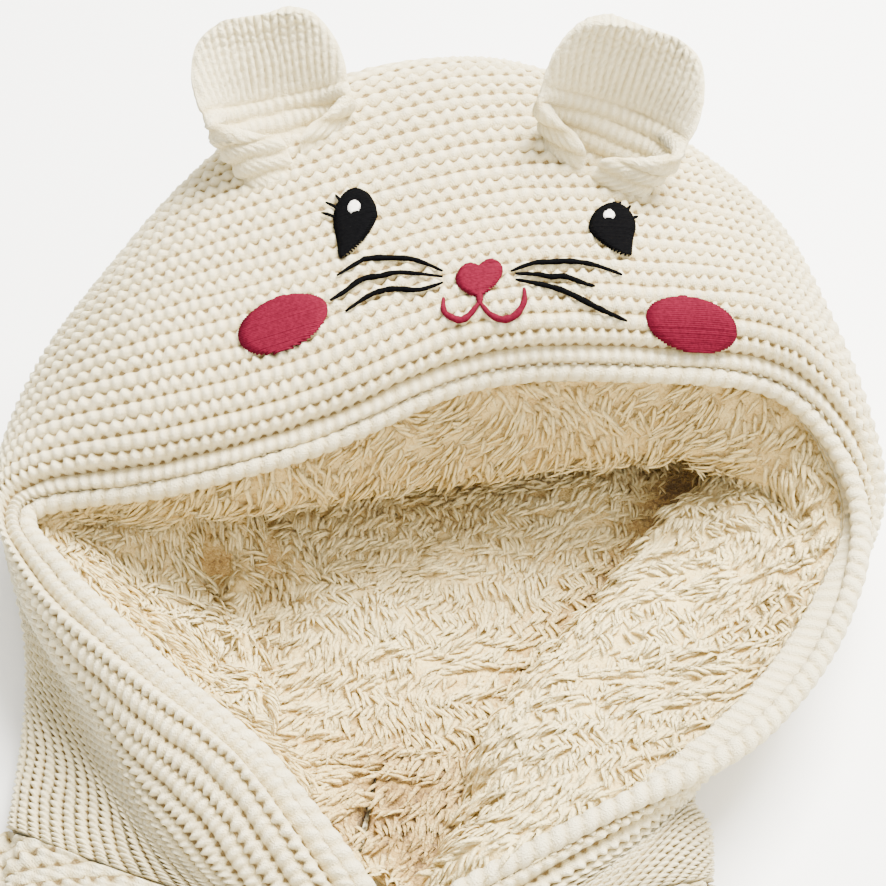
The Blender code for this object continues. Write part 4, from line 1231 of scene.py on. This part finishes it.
# Lines of stitching, as places across and back
WHISKERS = (
    ((-8, 31), (-13, 37), (-17, 40), (-23, 43), (-25, 43), (-30, 41)),
    ((-8, 29), (-17, 35), (-21, 36), (-25, 37), (-29, 35), (-32, 34)),
    ((-8, 27), (-13, 27), (-18, 30), (-21, 31), (-24, 31), (-29, 29)),
    ((7, 26), (12, 28), (16, 28), (20, 28), (25, 27), (32, 24)),
    ((8, 25), (13, 24), (16, 23), (19, 23), (23, 21), (26, 20)),
    ((8, 23), (13, 21), (18, 19), (25, 15), (29, 13), (34, 11)),
)
MOUTH = (
    ((0, 23), (0, 21), (0, 20), (0, 19), (0, 18), (0, 17)),
    ((0, 18), (-2, 15.5), (-4, 14.5), (-6, 15.5), (-8, 18), (-8, 22)),
    ((0, 18), (2, 14.5), (5, 12.5), (8, 13), (10, 16), (10, 20)),
)
LASHES = (
    ((-27, 63), (-27.5, 65), (-28.3, 67.5)),
    ((-28, 62), (-29, 64), (-30.4, 66)),
    ((-29, 60), (-30, 61.5), (-31.5, 63)),
    ((29.6, 46), (30, 48), (30.2, 50)),
    ((31, 44.5), (31.8, 47), (32.4, 49)),
    ((32.5, 43), (33.4, 44.2), (34.3, 45)),
)
# Name, lines, half the thread's thickness, height over the knit, thread
SEWN_LINES = (
    ("whiskers", WHISKERS, 0.85, 0.75, "black"),
    ("lashes", LASHES, 0.5, 0.8, "black"),
    ("mouth", MOUTH, 0.95, 0.75, "rose"),
)


SHORTEST = 0.7  # no strand is shorter
RAGGED = 0.10  # how far a strand's ends stray
STRAND_HALF = (0.85, 0.5)  # half width and height of a strand, in strands' pitches


def satin(name, place, inside, sizes, lift, seed):
    """Close parallel strands that fill a shape about a place in the hood's numbers."""
    random = np.random.default_rng(seed)
    across, back = place
    here, beside_it, behind_it = CHART.place([across, across + 1, across], [back, back, back + 1], 0.0)[0]
    per_x = 1 / np.linalg.norm(beside_it - here)
    per_y = 1 / np.linalg.norm(behind_it - here)
    pitch = size("strand")
    reach = max(sizes[:2]) * 1.3
    x = np.linspace(-reach, reach, 401)
    spans = []
    for y in np.arange(-reach, reach, pitch):
        within = inside(x, np.full_like(x, y), *sizes)
        ends = np.flatnonzero(np.diff(within.astype(int)))
        for start, end in zip(ends[::2], ends[1::2]):
            if x[end] - x[start] > SHORTEST:
                from_x = x[start] - random.uniform(0, RAGGED)
                spans.append((from_x, x[end] + random.uniform(0, RAGGED), y))
    spans = np.array(spans)
    share = np.linspace(0, 1, 9)[None, :]
    line_x = spans[:, :1] + (spans[:, 1:2] - spans[:, :1]) * share
    line_y = spans[:, 2:] + random.normal(0, 0.04, (len(spans), 1))
    arch = np.sqrt(np.clip(1 - (2 * share - 1) ** 4, 0, 1))
    rise = lift * (0.8 + 0.2 * arch) - 0.5 * (1 - arch) + random.normal(0, 0.015, (len(spans), 1))
    path, out = CHART.place(across + line_x * per_x, back + line_y * per_y, rise)
    wide, high = (pitch * half for half in STRAND_HALF)
    return tubes(name, path, out, wide, high, 0.5, 6)


def stitched(name, lines, half, lift):
    """Tapered lines of stitching along places in the hood's numbers."""
    paths, ways, sizes = [], [], []
    share = np.linspace(0, 1, 21)
    for line in lines:
        at = along(np.array(line, float), share * (len(line) - 1))
        path, out = CHART.place(at[:, 0], at[:, 1], lift)
        paths.append(path)
        ways.append(out)
        uneven = 1 + 0.10 * np.sin(share * 37 + len(paths))
        sizes.append(half * (0.35 + 0.65 * np.sin(math.pi * share) ** 0.7) * uneven)
    sizes = np.array(sizes)
    return tubes(name, np.array(paths), np.array(ways), sizes, sizes * 0.75, 0.5, 8)


class VEST_OT_embroidery(bpy.types.Operator):
    """Stitch the face: eyes, cheeks and nose in satin stitch, whiskers, mouth and lashes as lines"""

    bl_idname = "vest.embroidery"
    bl_label = "Embroidery"

    def execute(self, context):
        threads = {word: material_named(word + "_rayon_thread") for word in ("black", "rose", "white")}
        slots = {"black": "black_thread", "rose": "pink_thread"}
        for number, (node, colour, plan, inside, sizes, lift) in enumerate(PATCHES):
            data = satin(node + "_satin", CHART.nearest(*plan), inside, sizes, lift, 81 + number)
            piece(node + "_satin", data, threads[colour], slots[colour], node)
        for number, (name, across, back, half) in enumerate(GLINTS):
            shape = inside_ellipse, (half, half, 0.0)
            data = satin(name, (across, back), *shape, GLINT_LIFT, 91 + number)
            piece(name, data, threads["white"], "cream_knit")
        for name, lines, half, lift, colour in SEWN_LINES:
            piece(name, stitched(name, lines, half, lift), threads[colour], slots[colour])
        return {"FINISHED"}


# ---------------------------------------------------------------- body

BODY_STITCH = 4.2
BODY_ROW = 4.2
BODY_RELIEF = 1.9
BAND_ROW = 4.0  # the bands' rows run along them
BAND_RELIEF = 1.6
BACK_RELIEF = 0.8  # the back is pressed flat under the fronts
BACK_LIFT = -0.25  # and lies this much lower than its plain form
BODY_INNER_STEP = 8
FRONT_POINTS = (81, 201)  # columns and rows
BAND_POINTS = (19, 241)
BACK_POINTS = (131, 121)
BACK_LINING_POINTS = (61, 71)
BACK_LINING_WALL = 1.8
BODY_EDGE_HALF = 1.65  # half the thickness of the body's linked edges
ARMHOLE_OUT = 2.6  # how far outside the knit the armhole's edge lies
HEM_OUT = 1.9  # and the hem's
TINY = 1e-6  # keeps a list of places rising


def laid(x, y, height):
    """Points at places in the body's plan."""
    place_x, place_y = body_place(x, y)
    return np.stack([place_x, place_y, np.broadcast_to(height, place_x.shape)], axis=-1)


def body_plan(x, y):
    """Plan of the whole vest to plan of the body."""
    c, s = math.cos(BODY_TURN), math.sin(BODY_TURN)
    x, y = x - NAPE[0], y - NAPE[1]
    return x * c + y * s, -x * s + y * c


def armhole_half(y):
    """Half width of the body at y, from the hem to the top of the shoulder."""
    rows = np.array(ARMHOLE, float)
    curve = along(rows, np.linspace(0, len(rows) - 1, 80))
    x = np.concatenate([[HEM_HALF], curve[:, 0], [NECK_HALF]])
    height = np.concatenate([[HEM], curve[:, 1], [0.0]])
    return np.interp(y, height, x)


class Front:
    """One front panel and its band: their outlines and the height of their upper face."""

    def __init__(self, side):
        self.side = side
        edge = HOOD.grid([side * HOOD_HALF_RIM], np.linspace(0, HOOD_DEPTH, 19))[0]
        x, y = body_plan(edge[:, 0], edge[:, 1])
        w = side * x
        out_to_neck = slice(0, int(np.argmax(w)) + 1)
        self.neck_w = np.maximum.accumulate(w[out_to_neck] + np.arange(len(w[out_to_neck])) * TINY)
        self.neck_y, self.neck_z = y[out_to_neck], edge[out_to_neck, 2]
        top = LEFT_BAND_TOP if side < 0 else RIGHT_BAND_TOP
        self.band_top, self.band_top_y = side * top[0], top[1]
        corner = self.band_top + BAND_HALF
        beyond = self.neck_w > corner
        start_y = np.interp(corner, self.neck_w, self.neck_y)
        seam_y = np.maximum.accumulate(np.append(start_y, self.neck_y[beyond]))
        self.seam_y = seam_y - 1.5 * SEAM_GAP + np.arange(len(seam_y)) * TINY
        self.seam_w = np.append(corner, self.neck_w[beyond]) + SEAM_GAP

    def band_middle(self, y):
        """Where the band's middle line runs."""
        return self.band_top * smooth((y - BAND_STRAIGHT) / (self.band_top_y - BAND_STRAIGHT))

    def inner(self, y):
        """Where the front starts: beside its band, then below the hood's neck seam."""
        next_to_band = self.band_middle(y) + BAND_HALF + SEAM_GAP
        return np.where(y < self.seam_y[0], next_to_band, np.interp(y, self.seam_y, self.seam_w))

    def top(self, w, y):
        """Height of the upper face."""
        shoulder = np.interp(w, (NECK_HALF, SHOULDER_TIP[0]), (0, SHOULDER_TIP[1]))
        within = smooth((armhole_half(y) - w) / EDGE_ROUND) * smooth((y - HEM) / EDGE_ROUND)
        within = within * np.where(w > NECK_HALF - 12, smooth((shoulder - y) / EDGE_ROUND), 1)
        height = EDGE_TOP + (FRONT_TOP - EDGE_TOP) * within
        if self.side < 0:
            past_band = w - self.band_middle(y) - BAND_HALF
            height = height + BAND_STEP * smooth(1 - past_band / (2 * BAND_HALF))
        below = np.maximum(0, np.interp(w, self.neck_w, self.neck_y) - y)
        share = smooth(1 - below / NECK_RISE) * smooth(1 - (w - NECK_HALF) / 30)
        return height + np.maximum(0, np.interp(w, self.neck_w, self.neck_z) - height) * share

    def placed(self, w, y):
        """Points over the front with columns that run towards +X."""
        grid = laid(self.side * w, y, self.top(w, y))
        return grid if self.side > 0 else grid[::-1]

    def turned(self, w):
        """A grid's w as it grows towards +X, in the order of placed()."""
        return w if self.side > 0 else -w[::-1]

    def panel(self, columns, rows):
        """Grid over the front, and its own w and y."""
        y = np.broadcast_to(np.linspace(HEM, self.seam_y[-1], rows), (columns, rows))
        inner = self.inner(y)
        edge = np.maximum(armhole_half(y), inner + 1)
        w = inner + np.linspace(0, 1, columns)[:, None] * (edge - inner)
        return self.placed(w, y), w, y

    def band(self, columns, rows):
        """Grid over the band, and its own w and y."""
        across = np.linspace(-BAND_HALF, BAND_HALF, columns)[:, None]
        end = np.interp(self.band_top + across, self.neck_w, self.neck_y) - 4 * SEAM_GAP
        y = HEM + np.linspace(0, 1, rows)[None, :] * (end - HEM)
        w = self.band_middle(y) + across
        return self.placed(w, y), np.broadcast_to(across, w.shape), y


class VEST_OT_body(bpy.types.Operator):
    """Knit the two fronts with their bands, and the back that lies under them"""

    bl_idname = "vest.body"
    bl_label = "Body"

    def execute(self, context):
        yarn = material_named("brushed_cream_yarn")
        for side, word in ((-1, "left"), (1, "right")):
            front = Front(side)
            grid, w, y = front.panel(*FRONT_POINTS)
            soft = 0.35 * waves(grid, 30.0, 101 + side)
            a, b = front.turned(w) / BODY_STITCH, (y - HEM) / BODY_ROW
            name = "front_" + word
            data = knit_shell(name, grid, a, b, 103 + side, BODY_RELIEF, soft, BODY_INNER_STEP)
            made = piece(name + "_knit", data, yarn, "cream_knit", name)
            grid, w, y = front.band(*BAND_POINTS)
            a, b = (y - HEM) / BODY_STITCH, (front.turned(w) + BAND_HALF) / BAND_ROW
            name = "band_" + word
            data = knit_shell(name, grid, a, b, 107 + side, BAND_RELIEF, 0.0, BODY_INNER_STEP)
            made = piece(name + "_knit", data, yarn, "cream_knit", name)
        self.back(yarn)
        self.back_lining()
        return {"FINISHED"}

    @staticmethod
    def back(yarn):
        """The back panel: flat where it rests on the surface."""
        columns, rows = BACK_POINTS
        y = np.broadcast_to(np.linspace(HEM, -0.4, rows), BACK_POINTS)
        x = np.linspace(-1, 1, columns)[:, None] * armhole_half(y)
        a, b = x / BODY_STITCH, (y - HEM) / BODY_ROW
        grid = laid(x, y, BACK_TOP)
        data = knit_shell("body_back", grid, a, b, 111, BACK_RELIEF, BACK_LIFT, BODY_INNER_STEP)
        made = piece("body_back_knit", data, yarn, "cream_knit", "body_back")

    @staticmethod
    def back_lining():
        """The back's sherpa lining, which lies between the back and the fronts."""
        inset = EDGE_ROUND + 1
        columns, rows = BACK_LINING_POINTS
        y = np.broadcast_to(np.linspace(HEM + inset, SHOULDER_TIP[1] - 12, rows), BACK_LINING_POINTS)
        half = np.minimum(armhole_half(y), armhole_half(np.minimum(y + inset, 0))) - inset
        x = np.linspace(-1, 1, columns)[:, None] * half
        grid = laid(x, y, LINING_TOP - 0.6)
        clumps = 0.5 * waves(grid, 5.0, 121, 9)
        level = np.zeros(grid.shape)
        # Painted shade: darker between the clumps, paler on them
        level[..., 2] = 0.5 + 0.3 * clumps
        coarse = every(rows, BODY_INNER_STEP)
        face = grid.copy()
        face[..., 2] += clumps
        behind = grid[:, coarse] - (0, 0, BACK_LINING_WALL)
        data = linked_mesh("lining_back_ground", face, behind, level, coarse)
        fleece = material_named("sherpa_fleece")
        made = piece("lining_back_ground", data, fleece, "cream_sherpa", "lining_back")


def turn_round(start, end, outward):
    """The points of a half turn from one run of edging to the other."""
    middle = (start + end) / 2
    angle = np.radians((30, 60, 90, 120, 150))[:, None]
    radius = np.linalg.norm(start - middle)
    return middle + np.cos(angle) * (start - middle) + np.sin(angle) * radius * np.array(outward, float)


def armhole_path(side):
    """A closed run round one armhole: up the front's edge, over the shoulder, and down the back's.

    The second list holds the way out of the body at each point."""
    y = np.linspace(ARMHOLE[0][1], ARMHOLE[-1][1], 41)
    edge = np.column_stack([armhole_half(y), y])
    run = np.gradient(edge, axis=0)
    way = unit(np.column_stack([run[:, 1], -run[:, 0], 0 * y]))[1:-1]
    edge = edge[1:-1] + way[:, :2] * ARMHOLE_OUT
    front = np.column_stack([edge, np.full(len(edge), EDGE_TOP - KNIT / 2)])
    back = np.column_stack([edge, np.full(len(edge), KNIT / 2)])[::-1]
    over = turn_round(front[-1], back[0], (*unit(edge[-1] - edge[-2]), 0))
    under = turn_round(back[-1], front[0], (*unit(edge[0] - edge[1]), 0))
    run = np.concatenate([front, over, back, under, front[:1]])
    turns = len(over)
    ways = [way, np.repeat(way[-1:], turns, axis=0), way[::-1], np.repeat(way[:1], turns, axis=0), way[:1]]
    way = np.concatenate(ways)
    ways = laid(side * way[:, 0], way[:, 1], 0.0) - (*body_place(0, 0), 0)
    return laid(side * run[:, 0], run[:, 1], run[:, 2]), ways


def hem_path():
    """An open run along the hem: from the upper band round the back to the lower band."""
    left, right = Front(-1), Front(1)
    reach = HEM_HALF - 2
    w = np.linspace(-BAND_HALF, reach, 60)
    level = np.full_like(w, HEM - HEM_OUT)
    front_left = np.stack([-w, level, left.top(w, np.full_like(w, HEM)) - KNIT / 2], axis=-1)
    front_right = np.stack([w, level, right.top(w, np.full_like(w, HEM)) - KNIT / 2], axis=-1)[::-1]
    x = np.linspace(-reach, reach, 60)
    back = np.stack([x, level, np.full_like(x, KNIT / 2)], axis=-1)
    over = turn_round(front_left[-1], back[0], (-1, 0, 0))
    under = turn_round(back[-1], front_right[0], (1, 0, 0))
    run = np.concatenate([front_left, over, back, under, front_right])
    return laid(run[:, 0], run[:, 1], run[:, 2])


class VEST_OT_body_edges(bpy.types.Operator):
    """Link the edges round both armholes and along the hem"""

    bl_idname = "vest.body_edges"
    bl_label = "Body edges"

    def execute(self, context):
        for side, word in ((-1, "left"), (1, "right")):
            path, out = armhole_path(side)
            half = BODY_EDGE_HALF
            rope("armhole_edge_" + word, path, out, half, half, "armhole_edging_" + word, closed=True)
        path = hem_path()
        out = np.broadcast_to((0.0, -1.0, 0.0), path.shape)
        rope("hem_edge", path, out, BODY_EDGE_HALF, BODY_EDGE_HALF, "hem_edging")
        return {"FINISHED"}


# ---------------------------------------------------------------- buttons

BUTTON_FACE = 1.6  # the thread starts this far over the button's underside
BAR_RISE = 1.3  # and bows up this far
BAR_HALF = 1.9  # half the length of a bar of thread
BAR_PLACES = (-1.98, -1.42, 1.42, 1.98)  # two close threads to a bar, one bar each side of the middle
THREAD_HALF = 0.32  # half the thread's thickness
BAR_POINTS = 9


class VEST_OT_buttons(bpy.types.Operator):
    """Finish the buttons and sew them on with two bars of thread each"""

    bl_idname = "vest.buttons"
    bl_label = "Buttons"

    def execute(self, context):
        plastic = material_named("cream_urea_plastic")
        share = np.linspace(0, 1, BAR_POINTS)
        level = FRONT_TOP + BAND_STEP + SEAM_GAP + BUTTON_FACE + BAR_RISE * np.sin(math.pi * share) ** 0.5
        paths = []
        for number, row in enumerate(BUTTON_ROWS, start=1):
            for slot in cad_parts[f"button_{number}"].material_slots:
                slot.material = plastic
            x, y = body_place(0, row)
            along_x = x + (share * 2 - 1) * BAR_HALF
            for place in BAR_PLACES:
                paths.append(np.stack([along_x, np.full(BAR_POINTS, y + place), level], axis=-1))
        paths = np.array(paths)
        out = np.broadcast_to((0.0, 0.0, 1.0), paths.shape)
        data = tubes("button_thread", paths, out, THREAD_HALF, THREAD_HALF, 0.5, 6)
        piece("button_thread", data, material_named("white_rayon_thread"), "cream_knit")
        return {"FINISHED"}


# ---------------------------------------------------------------- stage

FLOOR_DROP = 0.0002  # metres under the vest, so that the two faces don't lie in one plane
FLOOR_SIZE = 12.0
ROOM_LIGHT = 1.1
SENSOR = 36.0
# Soft boxes: name, place from the hood in metres, size, watts and colour
LAMPS = (
    ("key_window", (0.35, 0.35, 1.0), 0.6, 88.0, "#FFFCF6"),
    ("front_fill", (0.35, -0.75, 0.7), 1.1, 17.0, "#FFF8EC"),
)


class VEST_OT_stage(bpy.types.Operator):
    """Set the floor, the lights and the camera at the photograph's angle"""

    bl_idname = "vest.stage"
    bl_label = "Stage"

    def execute(self, context):
        scene = context.scene
        bpy.ops.mesh.primitive_plane_add(size=FLOOR_SIZE, location=(0, 0, -FLOOR_DROP))
        floor = context.object
        floor.name = "floor"
        material, _, shader = new_material("matt_white_paper", roughness=0.9, sheen=0.0)
        shader.inputs["Base Color"].default_value = (*linear("#FAFAF8"), 1)
        floor.data.materials.append(material)
        world = bpy.data.worlds.new("soft_room")
        world.use_nodes = True
        background = world.node_tree.nodes["Background"]
        background.inputs["Color"].default_value = (*linear("#F3F6FA"), 1)
        background.inputs["Strength"].default_value = ROOM_LIGHT
        scene.world = world
        for lamp in LAMPS:
            self.lamp(*lamp)
        eye = bpy.data.cameras.new("photo_view")
        eye.lens = VIEW_LENS
        eye.sensor_width = SENSOR
        camera = bpy.data.objects.new("photo_view", eye)
        away = np.array([0, -math.cos(VIEW_UP), math.sin(VIEW_UP)]) * VIEW_AWAY
        target = moved(VIEW_TARGET)
        camera.location = moved(np.array(VIEW_TARGET) + away)
        camera.rotation_euler = (Vector(target) - camera.location).to_track_quat("-Z", "Y").to_euler()
        scene.collection.objects.link(camera)
        scene.camera = camera
        return {"FINISHED"}

    @staticmethod
    def lamp(name, place, size, power, colour):
        """A square soft box that looks at the hood."""
        light = bpy.data.lights.new(name, "AREA")
        light.shape = "SQUARE"
        light.size = size
        light.energy = power
        light.color = linear(colour)
        thing = bpy.data.objects.new(name, light)
        target = Vector(moved(VIEW_TARGET))
        thing.location = target + Vector(place)
        thing.rotation_euler = (-Vector(place)).to_track_quat("-Z", "Y").to_euler()
        bpy.context.scene.collection.objects.link(thing)


class VEST_PT_panel(bpy.types.Panel):
    """The vest's settings and the buttons that build its pieces"""

    bl_idname = "VEST_PT_panel"
    bl_label = "Hooded knit vest"
    bl_space_type = "VIEW_3D"
    bl_region_type = "UI"
    bl_category = "Vest"

    def draw(self, context):
        for setting in VestSettings.__annotations__:
            self.layout.prop(context.scene.vest, setting)
        for operator in OPERATORS:
            self.layout.operator(operator.bl_idname)


OPERATORS = (
    VEST_OT_hood, VEST_OT_edging, VEST_OT_lining, VEST_OT_ears, VEST_OT_embroidery,
    VEST_OT_body, VEST_OT_body_edges, VEST_OT_buttons, VEST_OT_stage,
)
CLASSES = (VestSettings, *OPERATORS, VEST_PT_panel)


def register():
    """Makes the vest's classes and settings known to Blender."""
    for kind in CLASSES:
        bpy.utils.register_class(kind)
    bpy.types.Scene.vest = PointerProperty(type=VestSettings)


def unregister():
    """Takes them away again."""
    del bpy.types.Scene.vest
    for kind in reversed(CLASSES):
        bpy.utils.unregister_class(kind)


def main():
    """Builds every piece and the stage."""
    register()
    for operator in OPERATORS:
        group, name = operator.bl_idname.split(".")
        getattr(getattr(bpy.ops, group), name)()


if __name__ == "__main__":
    main()
